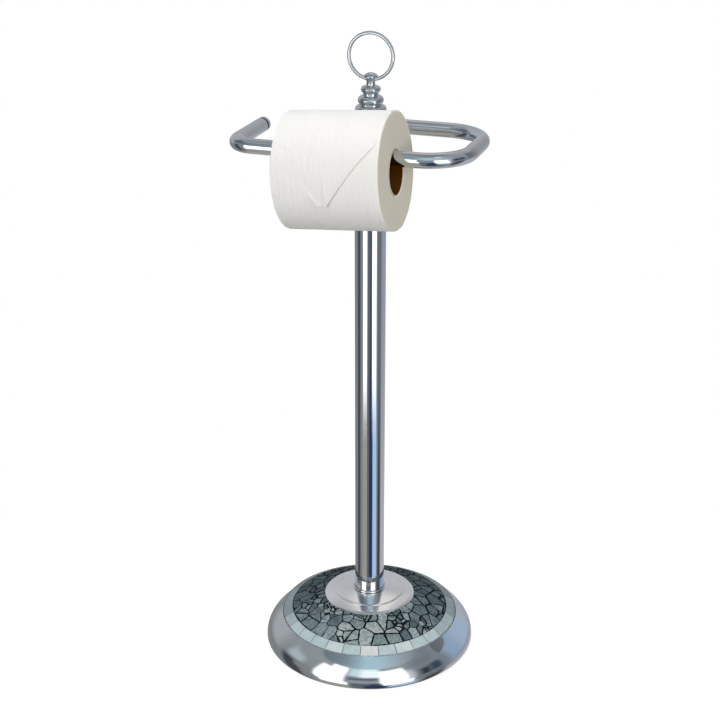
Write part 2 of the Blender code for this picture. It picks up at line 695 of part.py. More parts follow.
def arm_screw():
    """Round-headed screw through the pole's left wall into the arm's plug."""
    seat = POLE_RADIUS + GAP
    tip = seat + ARM_ROOT_REACH + SCREW_GRIP
    head_top = -SCREW_HEAD_HEIGHT
    profile = [(0.0, tip), (SCREW_RADIUS, tip), (SCREW_RADIUS, 0.0), (SCREW_HEAD_RADIUS, 0.0)]
    profile += quarter(profile[-1], (0.0, head_top), True)
    screw = turned_part("arm_screw", profile, CHROME, 16, closed=False)
    screw.location = (-seat, 0, ARM_HEIGHT)
    screw.rotation_euler.y = math.pi / 2
    return screw


def arm_end_cap():
    """Turned cap in the hook's open end: spigot, narrow neck and grooved head."""
    neck_top = CAP_NECK_LENGTH
    head_top = CAP_NECK_LENGTH + CAP_LENGTH
    groove_low = neck_top + CAP_LENGTH / 2 - CAP_GROOVE_WIDTH / 2
    groove_high = groove_low + CAP_GROOVE_WIDTH
    groove_radius = CAP_RADIUS - CAP_GROOVE_DEPTH
    profile = [(0.0, head_top), (CAP_RADIUS - CAP_EDGE, head_top)]
    profile += quarter(profile[-1], (CAP_RADIUS, head_top - CAP_EDGE), False, 3)
    profile += [(CAP_RADIUS, groove_high), (groove_radius, groove_high)]
    profile += [(groove_radius, groove_low), (CAP_RADIUS, groove_low)]
    profile += [(CAP_RADIUS, neck_top), (CAP_NECK_RADIUS, neck_top), (CAP_NECK_RADIUS, 0.0)]
    profile += [(CAP_NECK_RADIUS, -CAP_SPIGOT_LENGTH), (0.0, -CAP_SPIGOT_LENGTH)]
    cap = turned_part("arm_end_cap", profile, CHROME, 20, closed=False)
    tube_end = HOOK_BEND_RADIUS - ARM_SPACING + HOOK_LEG_LENGTH
    cap.location = (-ARM_LEFT_REACH, tube_end, ARM_HEIGHT)
    cap.rotation_euler.x = -math.pi / 2
    return cap


def leaned(corner, wound):
    """Place of a point of the roll, whose left end hangs lower, fully so at wound 1."""
    end = ROLL_WIDTH / 2
    along = corner.x - end
    x = end + along * math.cos(ROLL_LEAN) - corner.z * math.sin(ROLL_LEAN)
    hung = corner.z * math.cos(ROLL_LEAN) + along * math.sin(ROLL_LEAN)
    return Vector((x, corner.y, corner.z + (hung - corner.z) * wound))


def wound_part(name, profile, material, hub):
    """Ring turned about X from (radius, along) points, which leans more towards its outside."""
    bm = bmesh.new()
    corners = [bm.verts.new((along, 0.0, radius)) for radius, along in profile]
    edges = [bm.edges.new(pair) for pair in zip(corners, corners[1:] + corners[:1])]
    bmesh.ops.spin(bm, geom=corners + edges, axis=(1.0, 0.0, 0.0), angle=2 * math.pi,
                   steps=ROLL_STEPS, use_merge=True)
    bmesh.ops.remove_doubles(bm, verts=bm.verts[:], dist=MERGE)
    depth = ROLL_RADIUS - PAPER_BORE_RADIUS
    for corner in bm.verts:
        wound = max(0.0, corner.co.yz.length - PAPER_BORE_RADIUS) / depth
        corner.co = leaned(corner.co, wound)
    ring = new_object(name, mesh_from_bmesh(name, bm), material)
    ring.parent = hub
    return ring


def roll_hub():
    """Empty on the axis that the roll turns about, a little below the bar that carries it."""
    hub = bpy.data.objects.new("roll_axis", None)
    PARTS.objects.link(hub)
    hub.location = (ROLL_CENTRE_X, -ARM_SPACING, ROLL_HEIGHT)
    return hub


def cardboard_core(hub):
    """Cardboard tube that hangs on the front bar."""
    half = ROLL_WIDTH / 2
    profile = [(CORE_BORE_RADIUS, half), (CORE_OUTER_RADIUS, half)]
    profile += [(CORE_OUTER_RADIUS, -half), (CORE_BORE_RADIUS, -half)]
    return wound_part("cardboard_core", profile, CARDBOARD, hub)


def paper_roll(hub):
    """Wound paper round the core, with slightly soft edges and its left end wound lower."""
    half = ROLL_WIDTH / 2
    soft = ROLL_RADIUS - ROLL_EDGE
    profile = [(PAPER_BORE_RADIUS, half), (soft, half), (ROLL_RADIUS, half - ROLL_EDGE)]
    profile += [(ROLL_RADIUS, ROLL_EDGE - half), (soft, -half), (PAPER_BORE_RADIUS, -half)]
    return wound_part("paper_roll", profile, PAPER, hub)


def leaf_sides(angle):
    """Places of the leaf's two side edges, which draw in to a blunt tip past the shoulder."""
    left = LEAF_SIDE_INSET - ROLL_WIDTH / 2
    right = ROLL_WIDTH / 2 - LEAF_SIDE_INSET
    drawn_in = max(0.0, angle - LEAF_SHOULDER_ANGLE) / (LEAF_TIP_ANGLE - LEAF_SHOULDER_ANGLE)
    left += (LEAF_TIP_X - LEAF_TIP_WIDTH / 2 - left) * drawn_in
    right += (LEAF_TIP_X + LEAF_TIP_WIDTH / 2 - right) * drawn_in
    return left, right


def loose_leaf(hub):
    """Last leaf of paper over the top of the roll, its end folded to a point in front."""
    inner = ROLL_RADIUS + GAP
    bm = bmesh.new()
    bmesh.ops.create_grid(bm, x_segments=LEAF_COLUMNS, y_segments=LEAF_ROWS, size=0.5)
    for corner in bm.verts:
        angle = LEAF_START_ANGLE + (LEAF_TIP_ANGLE - LEAF_START_ANGLE) * (corner.co.y + 0.5)
        left, right = leaf_sides(angle)
        x = left + (right - left) * (corner.co.x + 0.5)
        corner.co = Vector((x, -inner * math.sin(angle), inner * math.cos(angle)))
    grown = bmesh.ops.extrude_face_region(bm, geom=bm.faces[:], use_keep_orig=True)["geom"]
    for piece in grown:
        if isinstance(piece, bmesh.types.BMVert):
            piece.co.yz = piece.co.yz * (inner + LEAF_THICKNESS) / inner
    for corner in bm.verts:
        corner.co = leaned(corner.co, 1.0)
    leaf = new_object("loose_leaf", mesh_from_bmesh("loose_leaf", bm), PAPER)
    leaf.parent = hub
    return leaf


def build_base():
    """Shell, weight, pad, mosaic and plate."""
    base_shell()
    base_weight()
    base_pad()
    mosaic_bed()
    crackle_mosaic()
    border_tiles()
    centre_plate()
    base_washer()
    base_bolt()


def build_pole():
    """Pole with its inserts, collar, finial and ring."""
    pole_tube()
    pole_collar()
    pole_foot_insert()
    pole_top_insert()
    finial_stud()
    finial()
    carry_ring()


def build_arm():
    """Bent arm, its plug, screw and end cap."""
    arm_tube()
    arm_root_plug()
    arm_screw()
    arm_end_cap()


def build_roll():
    """Roll of paper that turns on the front bar."""
    hub = roll_hub()
    cardboard_core(hub)
    paper_roll(hub)
    loose_leaf(hub)


clear_scene()
PARTS = new_collection("toilet_paper_holder")
CUTTERS = new_collection("cutters")
CHROME = new_material("polished_chrome", (0.62, 0.63, 0.65), 1.0, 0.08)
SATIN_STEEL = new_material("satin_plate", (0.60, 0.60, 0.62), 1.0, 0.30)
CAST_IRON = new_material("cast_iron", (0.06, 0.06, 0.065), 0.6, 0.70)
FOAM = new_material("foam_pad", (0.02, 0.02, 0.02), 0.0, 0.90)
MORTAR = new_material("dark_mortar", (0.02, 0.025, 0.027), 0.0, 0.85)
STONE = new_material("crackled_stone", (0.22, 0.28, 0.29), 0.0, 0.45)
TILE_GLASS = new_material("border_glass", (0.50, 0.58, 0.58), 0.0, 0.25)
ZINC = new_material("zinc_plated", (0.55, 0.56, 0.58), 1.0, 0.35)
CARDBOARD = new_material("cardboard", (0.28, 0.13, 0.06), 0.0, 0.90)
PAPER = new_material("tissue_paper", (0.86, 0.85, 0.82), 0.0, 0.95)
build_base()
build_pole()
build_arm()
build_roll()
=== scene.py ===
"""Looks of a freestanding toilet paper holder: chrome pole and arm, mosaic base, paper roll.

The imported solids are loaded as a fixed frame, and each visible piece is modelled round them. The
floor is z = 0, the pole stands on the z axis, and the arm's two bars run along x.
"""
import math
import random

import bpy
from bpy.props import FloatProperty, FloatVectorProperty, IntProperty, PointerProperty
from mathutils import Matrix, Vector


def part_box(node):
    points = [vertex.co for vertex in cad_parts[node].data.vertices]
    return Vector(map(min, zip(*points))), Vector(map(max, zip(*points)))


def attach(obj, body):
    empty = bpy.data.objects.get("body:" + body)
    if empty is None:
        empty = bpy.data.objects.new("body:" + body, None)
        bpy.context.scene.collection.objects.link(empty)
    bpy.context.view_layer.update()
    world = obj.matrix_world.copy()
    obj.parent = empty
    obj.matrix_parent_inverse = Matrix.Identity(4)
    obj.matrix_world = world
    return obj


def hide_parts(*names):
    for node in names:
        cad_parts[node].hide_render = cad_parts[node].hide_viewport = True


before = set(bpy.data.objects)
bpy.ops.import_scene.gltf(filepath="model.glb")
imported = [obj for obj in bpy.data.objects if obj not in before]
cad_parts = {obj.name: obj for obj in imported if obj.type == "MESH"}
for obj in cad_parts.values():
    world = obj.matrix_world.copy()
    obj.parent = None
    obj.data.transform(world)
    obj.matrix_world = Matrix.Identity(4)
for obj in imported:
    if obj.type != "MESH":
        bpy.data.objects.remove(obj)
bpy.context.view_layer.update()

bl_info = {
    "name": "Toilet paper holder",
    "version": (1, 0, 0),
    "blender": (4, 5, 0),
    "location": "3D View > Sidebar > Paper Holder",
    "description": "Models a freestanding toilet paper holder piece by piece",
    "category": "Add Mesh",
}

FULL_TURN = 2 * math.pi
MERGE_DISTANCE = 0.000005
HAIR = 0.0002  # small step or rounding between faces
PLAY = 0.0003  # clearance between a piece and what it goes round or into
AXES = {"X": (1.0, 0.0, 0.0), "Y": (0.0, 1.0, 0.0), "Z": (0.0, 0.0, 1.0)}
BOLT_HOLE = 0.0045  # radius of the hole for the pole's bolt
PLATE_SEAT = 0.0444  # radius of the shell's raised middle, which carries the plate
PLUG_LENGTH = 0.0120  # the cap's plug in the hook's end

# Places taken from the frame, in metres
pole_low, pole_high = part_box("pole_tube")
arm_low, arm_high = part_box("arm_tube")
ring_low, ring_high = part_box("carry_ring")
finial_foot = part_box("finial")[0].z
collar_low, collar_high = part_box("pole_collar")
core_low, core_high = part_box("cardboard_core")
cap_low, cap_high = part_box("arm_end_cap")
screw_low, screw_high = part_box("arm_screw")
BAR_HEIGHT = (arm_low.z + arm_high.z) / 2
ROLL_CENTRE = (core_low + core_high) / 2


# Sizes and colours that a user would change


class BaseSizes(bpy.types.PropertyGroup):
    """Sizes of the domed base and its mosaic."""

    dome_apex: FloatProperty(
        name="Dome apex", description="Height of the plate's sphere", default=0.0602, unit="LENGTH"
    )
    dome_radius: FloatProperty(
        name="Dome radius", description="Radius of the plate's sphere", default=0.180, unit="LENGTH"
    )
    mosaic_drop: FloatProperty(
        name="Mosaic drop", description="Mosaic's drop below the plate", default=0.0017,
        unit="LENGTH",
    )
    mosaic_radius: FloatProperty(
        name="Mosaic radius", description="Outer radius of the border tiles", default=0.0955,
        unit="LENGTH",
    )
    border_width: FloatProperty(
        name="Border width", description="Width of the border tiles", default=0.0098, unit="LENGTH"
    )
    plate_radius: FloatProperty(
        name="Plate radius", description="Radius of the centre plate", default=0.0491, unit="LENGTH"
    )
    step_radius: FloatProperty(
        name="Step radius", description="Radius of the plate's step", default=0.0371, unit="LENGTH"
    )
    rim_radius: FloatProperty(
        name="Rim radius", description="Widest radius of the rim", default=0.1144, unit="LENGTH"
    )
    wall: FloatProperty(
        name="Shell wall", description="Thickness of the shell", default=0.0012, unit="LENGTH"
    )


class MosaicSizes(bpy.types.PropertyGroup):
    """Sizes of the crackled stones."""

    rows: IntProperty(name="Rows", description="Rows of stones across the ring", default=3)
    columns: IntProperty(name="Columns", description="Stones in one row", default=28)
    chips: IntProperty(name="Chips", description="Small chips between the stones", default=120)
    joint: FloatProperty(
        name="Joint", description="Width of the dark joints", default=0.0021, unit="LENGTH"
    )
    seed: IntProperty(name="Seed", description="Seed of the breakage", default=5)


class MetalSizes(bpy.types.PropertyGroup):
    """Sizes of the arm and the ring."""

    tube_radius: FloatProperty(
        name="Tube radius", description="Radius of the arm's tube", default=0.0073, unit="LENGTH"
    )
    wide_bend: FloatProperty(
        name="Wide bend", description="Radius of the arm's two wide bends", default=0.0412,
        unit="LENGTH",
    )
    hook_bend: FloatProperty(
        name="Hook bend", description="Radius of the hook's bend", default=0.0211, unit="LENGTH"
    )
    spacing: FloatProperty(
        name="Bar spacing", description="From the pole to the roll's bar", default=0.1166,
        unit="LENGTH",
    )
    wire_radius: FloatProperty(
        name="Ring wire", description="Radius of the ring's wire", default=0.0018, unit="LENGTH"
    )


class RollSizes(bpy.types.PropertyGroup):
    """Sizes of the paper roll and its loose leaf."""

    width: FloatProperty(
        name="Roll width", description="Width of the wound paper", default=0.1016, unit="LENGTH"
    )
    radius: FloatProperty(
        name="Roll radius", description="Radius of the wound paper", default=0.0544, unit="LENGTH"
    )
    lean: FloatProperty(
        name="Lean", description="How far the winding leans on its core",
        default=math.radians(4.1), subtype="ANGLE",
    )
    shoulder: FloatProperty(
        name="Leaf shoulder", description="Where the leaf's folds start, from the roll's top",
        default=math.radians(46.0), subtype="ANGLE",
    )
    tip: FloatProperty(
        name="Leaf tip", description="Where the leaf's point ends, from the roll's top",
        default=math.radians(110.5), subtype="ANGLE",
    )


class HolderColours(bpy.types.PropertyGroup):
    """Colours of the finishes, as linear values."""

    chrome: FloatVectorProperty(
        name="Chrome", description="Polished chrome plate", default=(0.62, 0.635, 0.655),
        subtype="COLOR",
    )
    paper: FloatVectorProperty(
        name="Paper", description="Tissue paper", default=(0.845, 0.823, 0.797), subtype="COLOR"
    )


# Materials


NOISE = "ShaderNodeTexNoise"
CELLS = "ShaderNodeTexVoronoi"
WAVE = "ShaderNodeTexWave"
BUMP = "ShaderNodeBump"
RAMP = "ShaderNodeValToRGB"
MIX = "ShaderNodeMix"
SPREAD = "ShaderNodeMapRange"
MATHS = "ShaderNodeMath"
SURFACE = "ShaderNodeBsdfPrincipled"


def linear(hex_colour):
    """Linear red, green, blue and alpha of an sRGB hex colour."""
    values = [int(hex_colour[place : place + 2], 16) / 255 for place in (1, 3, 5)]
    values = [v / 12.92 if v <= 0.04045 else ((v + 0.055) / 1.055) ** 2.4 for v in values]
    return (*values, 1.0)


def node(tree, kind, inputs=None, stops=(), **settings):
    """Node of a kind with its settings; inputs are values, or sockets or nodes to link from.

    A colour ramp also has stops, as (place, hex colour).
    """
    made = tree.nodes.new(kind)
    for key, value in settings.items():
        setattr(made, key, value)
    for key, value in (inputs or {}).items():
        if isinstance(value, bpy.types.Node):
            value = next(socket for socket in value.outputs if socket.enabled)
        if isinstance(value, bpy.types.NodeSocket):
            tree.links.new(value, made.inputs[key])
        else:
            made.inputs[key].default_value = value
    while stops and len(made.color_ramp.elements) < len(stops):
        made.color_ramp.elements.new(0.5)
    for number, (place, colour) in enumerate(stops):
        made.color_ramp.elements[number].position = place
        made.color_ramp.elements[number].color = linear(colour)
    return made


def new_material(name):
    """Empty material, its tree and its object coordinates."""
    material = bpy.data.materials.new(name)
    material.use_nodes = True
    tree = material.node_tree
    tree.nodes.clear()
    return material, tree, node(tree, "ShaderNodeTexCoord").outputs["Object"]


def closed(material, tree, kind, inputs):
    """Material with its last shader of a kind, linked to the output."""
    node(tree, "ShaderNodeOutputMaterial", {"Surface": node(tree, kind, inputs)})
    return material


def per_mm(millimetres):
    """Texture scale that gives features of a size in millimetres on coordinates in metres."""
    return 1000.0 / millimetres


def rings_per_mm(millimetres):
    """Wave texture's scale that gives rings a size in millimetres apart."""
    return per_mm(millimetres) / FULL_TURN * 2


def grained(name, kind, grain, stops, relief, finish):
    """Material of a single grain, which gives its colour between two stops and its relief.

    grain holds the texture's size in millimetres and its other inputs, relief the bump's strength
    and its depth in metres.
    """
    material, tree, place = new_material(name)
    size, others = grain
    texture = node(tree, kind, {"Vector": place, "Scale": per_mm(size), **others})
    inputs = {"Base Color": node(tree, RAMP, {"Fac": texture}, stops), **finish}
    if relief:
        strength, depth = relief
        inputs["Normal"] = node(
            tree, BUMP, {"Height": texture, "Strength": strength, "Distance": depth}
        )
    return closed(material, tree, SURFACE, inputs)


def chrome(name, low=0.045, high=0.085):
    """Chromium plate over buffed metal: a hard blue-white mirror with faint buffing haze."""
    material, tree, place = new_material(name)
    haze = node(tree, NOISE, {"Vector": place, "Scale": per_mm(18.0), "Detail": 3.0})
    rough = node(
        tree, SPREAD,
        {"Value": haze, "From Min": 0.3, "From Max": 0.7, "To Min": low, "To Max": high},
    )
    ripple = node(tree, NOISE, {"Vector": place, "Scale": per_mm(9.0), "Detail": 1.0})
    bump = node(tree, BUMP, {"Height": ripple, "Strength": 0.02, "Distance": 0.0001})
    return closed(material, tree, SURFACE, {
        "Base Color": (*bpy.context.scene.holder_colours.chrome, 1.0), "Metallic": 1.0,
        "Roughness": rough, "Normal": bump,
    })


def satin_plate():
    """Stamped steel with a satin plate: soft reflection with fine rings from its turning."""
    material, tree, place = new_material("satin_plated_steel")
    rings = node(
        tree, WAVE,
        {"Vector": place, "Scale": rings_per_mm(1.6), "Distortion": 0.6, "Detail": 2.0},
        wave_type="RINGS", rings_direction="Z",
    )
    bump = node(tree, BUMP, {"Height": rings.outputs["Fac"], "Strength": 0.05, "Distance": 0.0001})
    cloud = node(tree, NOISE, {"Vector": place, "Scale": per_mm(22.0), "Detail": 4.0})
    rough = node(tree, SPREAD, {"Value": cloud, "To Min": 0.09, "To Max": 0.13})
    return closed(material, tree, SURFACE, {
        "Base Color": linear("#F3F1F2"), "Metallic": 1.0, "Roughness": rough, "Normal": bump,
    })


def painted_gap_shade():
    """Painted shade in the groove behind the cap: dark and half matt, as the shade in a gap shows.
    """
    return grained(
        "gap_shade_paint", NOISE, (0.7, {"Detail": 3.0}), [(0.3, "#08090A"), (0.7, "#17191B")],
        None, {"Metallic": 0.6, "Roughness": 0.5},
    )


def cast_iron():
    """Sand-cast iron under dark paint: a pebbly, almost matt skin."""
    return grained(
        "painted_cast_iron", NOISE, (1.8, {"Detail": 5.0}), [(0.3, "#26282A"), (0.7, "#3C3E40")],
        (0.6, 0.0004), {"Roughness": 0.7},
    )


def foam():
    """Closed-cell foam rubber: black and matt, with tiny cut cells."""
    return grained(
        "foam_rubber", CELLS, (0.9, {}), [(0.1, "#121213"), (0.7, "#2A2A2B")],
        (0.5, 0.0003), {"Roughness": 0.92},
    )


def mortar():
    """Near-black grout, sanded and matt, with fine grit."""
    return grained(
        "dark_grout", NOISE, (0.8, {"Detail": 4.0}), [(0.3, "#060A0B"), (0.7, "#131A1C")],
        (0.5, 0.0002), {"Roughness": 0.9, "Specular IOR Level": 0.15},
    )


def tile_glaze(name, dark, pale):
    """Pale glazed tile: an even soft gloss over a cloudy body."""
    return grained(
        name, NOISE, (6.0, {"Detail": 4.0, "Distortion": 0.6}), [(0.3, dark), (0.7, pale)],
        (0.1, 0.0003), {"Roughness": 0.32, "Coat Weight": 0.2, "Coat Roughness": 0.1},
    )


def cut_cardboard():
    """Cut end of the board: pale pulp, fluffed by the saw."""
    return grained(
        "cut_cardboard", NOISE, (0.6, {"Detail": 4.0}), [(0.3, "#D8CFBE"), (0.7, "#ECE6DA")],
        (0.4, 0.0002), {"Roughness": 0.9},
    )


def zinc():
    """Zinc plate from a barrel: grey and slightly mottled, half matt."""
    material, tree, place = new_material("zinc_plated_steel")
    spangle = node(tree, CELLS, {"Vector": place, "Scale": per_mm(2.5)})
    colour = node(tree, RAMP, {"Fac": spangle}, [(0.0, "#B4B8BC"), (1.0, "#9A9FA5")])
    rough = node(tree, SPREAD, {"Value": spangle, "To Min": 0.3, "To Max": 0.42})
    return closed(material, tree, SURFACE, {
        "Base Color": colour, "Metallic": 1.0, "Roughness": rough,
    })


def crackled_stone():
    """Marbled grey-green stone, broken and polished: pale veins, hairline cracks, a tone each with
    painted shade.
    """
    material, tree, place = new_material("crackled_marble")
    # The tone holds painted shade too: paler in front, darker behind
    tone = node(tree, "ShaderNodeAttribute", attribute_name="stone_tone_and_shade")
    body = node(
        tree, RAMP, {"Fac": tone.outputs["Fac"]},
        [(0.1, "#2F3C42"), (0.3, "#4C5B61"), (0.5, "#74848B"), (0.7, "#99A8AB"),
         (0.82, "#B4BDBD"), (0.92, "#C6C3C7")],
    )
    swirl = node(
        tree, NOISE, {"Vector": place, "Scale": per_mm(4.2), "Detail": 7.0, "Distortion": 1.8}
    )
    veins = node(
        tree, RAMP, {"Fac": swirl},
        [(0.32, "#8A9294"), (0.46, "#BFC4C4"), (0.54, "#EFF2F2"), (0.66, "#FFFFFF")],
    )
    cracks = node(
        tree, CELLS, {"Vector": place, "Scale": per_mm(4.5)}, feature="DISTANCE_TO_EDGE"
    )
    hairline = node(tree, RAMP, {"Fac": cracks}, [(0.0, "#5F696B"), (0.035, "#FFFFFF")])
    multiply = {"data_type": "RGBA", "blend_type": "MULTIPLY"}
    veined = node(tree, MIX, {"Factor": 0.8, "A": body, "B": veins}, **multiply)
    cracked = node(tree, MIX, {"Factor": 0.6, "A": veined, "B": hairline}, **multiply)
    rough = node(tree, SPREAD, {"Value": swirl, "To Min": 0.35, "To Max": 0.55})
    bump = node(tree, BUMP, {"Height": swirl, "Strength": 0.3, "Distance": 0.0005})
    return closed(material, tree, SURFACE, {
        "Base Color": cracked, "Roughness": rough, "Normal": bump, "Specular IOR Level": 0.2,
    })


def cardboard():
    """Spiral-wound board: brown, darkened as painted shade for the dim bore, matt, with the wound
    strip's slanting seams.
    """
    material, tree, place = new_material("shaded_wound_cardboard")
    centred = node(tree, "ShaderNodeMapping", {"Vector": place, "Location": -ROLL_CENTRE})
    seam = node(
        tree, WAVE,
        {"Vector": centred, "Scale": per_mm(60.0), "Distortion": 1.0},
        bands_direction="DIAGONAL", wave_profile="SAW",
    )
    fibre = node(tree, NOISE, {"Vector": place, "Scale": per_mm(1.2), "Detail": 5.0})
    # Painted shade: the brown is darkened for the shade inside the core
    colour = node(tree, RAMP, {"Fac": fibre}, [(0.25, "#582A04"), (0.75, "#76440C")])
    shade = node(
        tree, RAMP, {"Fac": seam.outputs["Fac"]},
        [(0.0, "#FFFFFF"), (0.92, "#E8E2DC"), (1.0, "#9A8474")],
    )
    board = node(
        tree, MIX, {"Factor": 0.5, "A": colour, "B": shade},
        data_type="RGBA", blend_type="MULTIPLY",
    )
    bump = node(tree, BUMP, {"Height": fibre, "Strength": 0.3, "Distance": 0.0002})
    return closed(material, tree, SURFACE, {
        "Base Color": board, "Roughness": 0.85, "Normal": bump, "Specular IOR Level": 0.1,
    })


def tissue():
    """Soft wound tissue: warm white and matt, with faint lines along its run and a tiny emboss."""
    material, tree, place = new_material("wound_tissue")
    centred = node(tree, "ShaderNodeMapping", {"Vector": place, "Location": -ROLL_CENTRE})
    drawn_long, stretched = [
        node(tree, "ShaderNodeMapping", {"Vector": centred, "Scale": (1.0, round_it, round_it)})
        for round_it in (0.06, 0.3)
    ]
    lines = node(tree, NOISE, {"Vector": drawn_long, "Scale": per_mm(1.6), "Detail": 3.0})
    crepe = node(tree, NOISE, {"Vector": place, "Scale": per_mm(1.0), "Detail": 4.0})
    fine = node(tree, MIX, {"Factor": 0.45, "A": lines, "B": crepe}, data_type="FLOAT")
    grain = node(tree, BUMP, {"Height": fine, "Strength": 0.9, "Distance": 0.0009})
    dents = node(tree, NOISE, {"Vector": stretched, "Scale": per_mm(4.0), "Detail": 2.0})
    bump = node(
        tree, BUMP, {"Height": dents, "Strength": 0.5, "Distance": 0.0016, "Normal": grain}
    )
    cloud = node(tree, NOISE, {"Vector": place, "Scale": per_mm(25.0), "Detail": 2.0})
    pale = (*bpy.context.scene.holder_colours.paper, 1.0)
    dull = (*[0.94 * part for part in pale[:3]], 1.0)
    colour = node(tree, MIX, {"Factor": cloud, "A": dull, "B": pale}, data_type="RGBA")
    return closed(material, tree, SURFACE, {
        "Base Color": colour, "Roughness": 0.95, "Normal": bump, "Sheen Weight": 0.15,
        "Specular IOR Level": 0.2,
    })


def tissue_edge():
    """Cut edge of the wound tissue: beige-grey, with the turns of the winding as fine rings."""
    material, tree, place = new_material("cut_tissue_edge")
    centred = node(tree, "ShaderNodeMapping", {"Vector": place, "Location": -ROLL_CENTRE})
    turns = node(
        tree, WAVE,
        {
            "Vector": centred, "Scale": rings_per_mm(1.5), "Distortion": 1.2, "Detail": 3.0,
            "Detail Scale": 2.0,
        },
        wave_type="RINGS", rings_direction="X",
    )
    dust = node(tree, NOISE, {"Vector": place, "Scale": per_mm(1.2), "Detail": 5.0})
    height = node(
        tree, MIX, {"Factor": 0.5, "A": turns.outputs["Fac"], "B": dust}, data_type="FLOAT"
    )
    colour = node(tree, RAMP, {"Fac": height}, [(0.25, "#D2CCBF"), (0.75, "#DDD8CC")])
    bump = node(tree, BUMP, {"Height": height, "Strength": 0.4, "Distance": 0.0004})
    return closed(material, tree, SURFACE, {
        "Base Color": colour, "Roughness": 0.95, "Normal": bump,
    })


# Tools that shape a piece


def deselect_all():
    """Leave edit mode if needed, and select nothing."""
    if bpy.context.object and bpy.context.object.mode != "OBJECT":
        bpy.ops.object.mode_set(mode="OBJECT")
    bpy.ops.object.select_all(action="DESELECT")


def draw_outline(points):
    """Chain of edges through points, drawn by extruding one corner from each to the next."""
    deselect_all()
    bpy.ops.mesh.primitive_plane_add(size=0.001, location=points[0])
    bpy.ops.object.mode_set(mode="EDIT")
    bpy.ops.mesh.merge(type="CENTER")
    for here, after in zip(points, points[1:]):
        bpy.ops.mesh.extrude_region_move(TRANSFORM_OT_translate={"value": after - here})


def close_mesh():
    """Merge what meets, and turn every face outwards."""
    bpy.ops.mesh.select_all(action="SELECT")
    bpy.ops.mesh.remove_doubles(threshold=MERGE_DISTANCE)
    bpy.ops.mesh.normals_make_consistent(inside=False)
    bpy.ops.object.mode_set(mode="OBJECT")


def turned(outline, steps=128, axis="Z", centre=(0.0, 0.0, 0.0)):
    """Piece turned on a lathe from (radius, along) points, round an axis through the centre."""
    run = Vector(AXES[axis])
    out = Vector(AXES["Z" if axis == "X" else "X"])
    draw_outline([Vector(centre) + radius * out + along * run for radius, along in outline])
    bpy.ops.mesh.select_all(action="SELECT")
    bpy.ops.mesh.spin(steps=steps, angle=FULL_TURN, center=centre, axis=AXES[axis])
    close_mesh()
    return bpy.context.object


def finish_piece(name, material, replaced, body="stand", smooth=32.0):
    """Name, place, smooth and finish the active piece, and hang it on its body."""
    piece = bpy.context.object
    piece.name = name
    piece.data.name = name
    bpy.ops.object.transform_apply(location=True, rotation=True, scale=True)
    bpy.ops.object.shade_smooth_by_angle(angle=math.radians(smooth))
    piece.data.materials.clear()
    piece.data.materials.append(material)
    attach(piece, body)
    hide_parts(replaced)
    return piece


def arc(start, end, round_at_start, steps=8):
    """Points of a quarter ellipse after start, up to end."""
    points = []
    for index in range(1, steps + 1):
        angle = math.pi / 2 * index / steps
        across = 1 - math.cos(angle) if round_at_start else math.sin(angle)
        along = math.sin(angle) if round_at_start else 1 - math.cos(angle)
        points.append(
            (start[0] + (end[0] - start[0]) * across, start[1] + (end[1] - start[1]) * along)
        )
    return points


def select_only(piece):
    """Make a piece the active one, with nothing else selected."""
    deselect_all()
    bpy.context.view_layer.objects.active = piece
    piece.select_set(True)


def upright_disc(add, radius, place, **settings):
    """Circle or cylinder, by the operator that adds it, whose axis runs along x."""
    deselect_all()
    add(radius=radius, location=place, rotation=(0, math.pi / 2, 0), **settings)


def dome(radius):
    """Height of the plate's sphere at a distance from the pole's axis."""
    sizes = bpy.context.scene.base_sizes
    return sizes.dome_apex - sizes.dome_radius + math.sqrt(sizes.dome_radius ** 2 - radius ** 2)


def dome_run(inner, outer, drop, count):
    """Points on the sphere, lowered by drop, from one radius to another."""
    radii = [inner + (outer - inner) * index / (count - 1) for index in range(count)]
    return [(radius, dome(radius) - drop) for radius in radii]


def rim_curve(t, inset):
    """Point on the rim's rounded shoulder, or inset from it; t runs from 0 above to 1 below."""
    sizes = bpy.context.scene.base_sizes
    land, lip = 0.0013, 0.0004
    slope, upper_pull, lower_pull, foot_height = math.radians(43.6), 0.0125, 0.0113, 0.0035
    start_radius = sizes.mosaic_radius + land
    start = Vector((start_radius, dome(start_radius) - sizes.mosaic_drop + lip))
    second = start + upper_pull * Vector((math.cos(slope), -math.sin(slope)))
    end = Vector((sizes.rim_radius, foot_height))
    third = end + Vector((0.0, lower_pull))
    u = 1 - t
    point = u ** 3 * start + 3 * u * u * t * second + 3 * u * t * t * third + t ** 3 * end
    run = 3 * u * u * (second - start) + 6 * u * t * (third - second) + 3 * t * t * (end - third)
    run.normalize()
    return (point.x + run.y * inset, point.y - run.x * inset)


# Operators, one for each piece or group of pieces


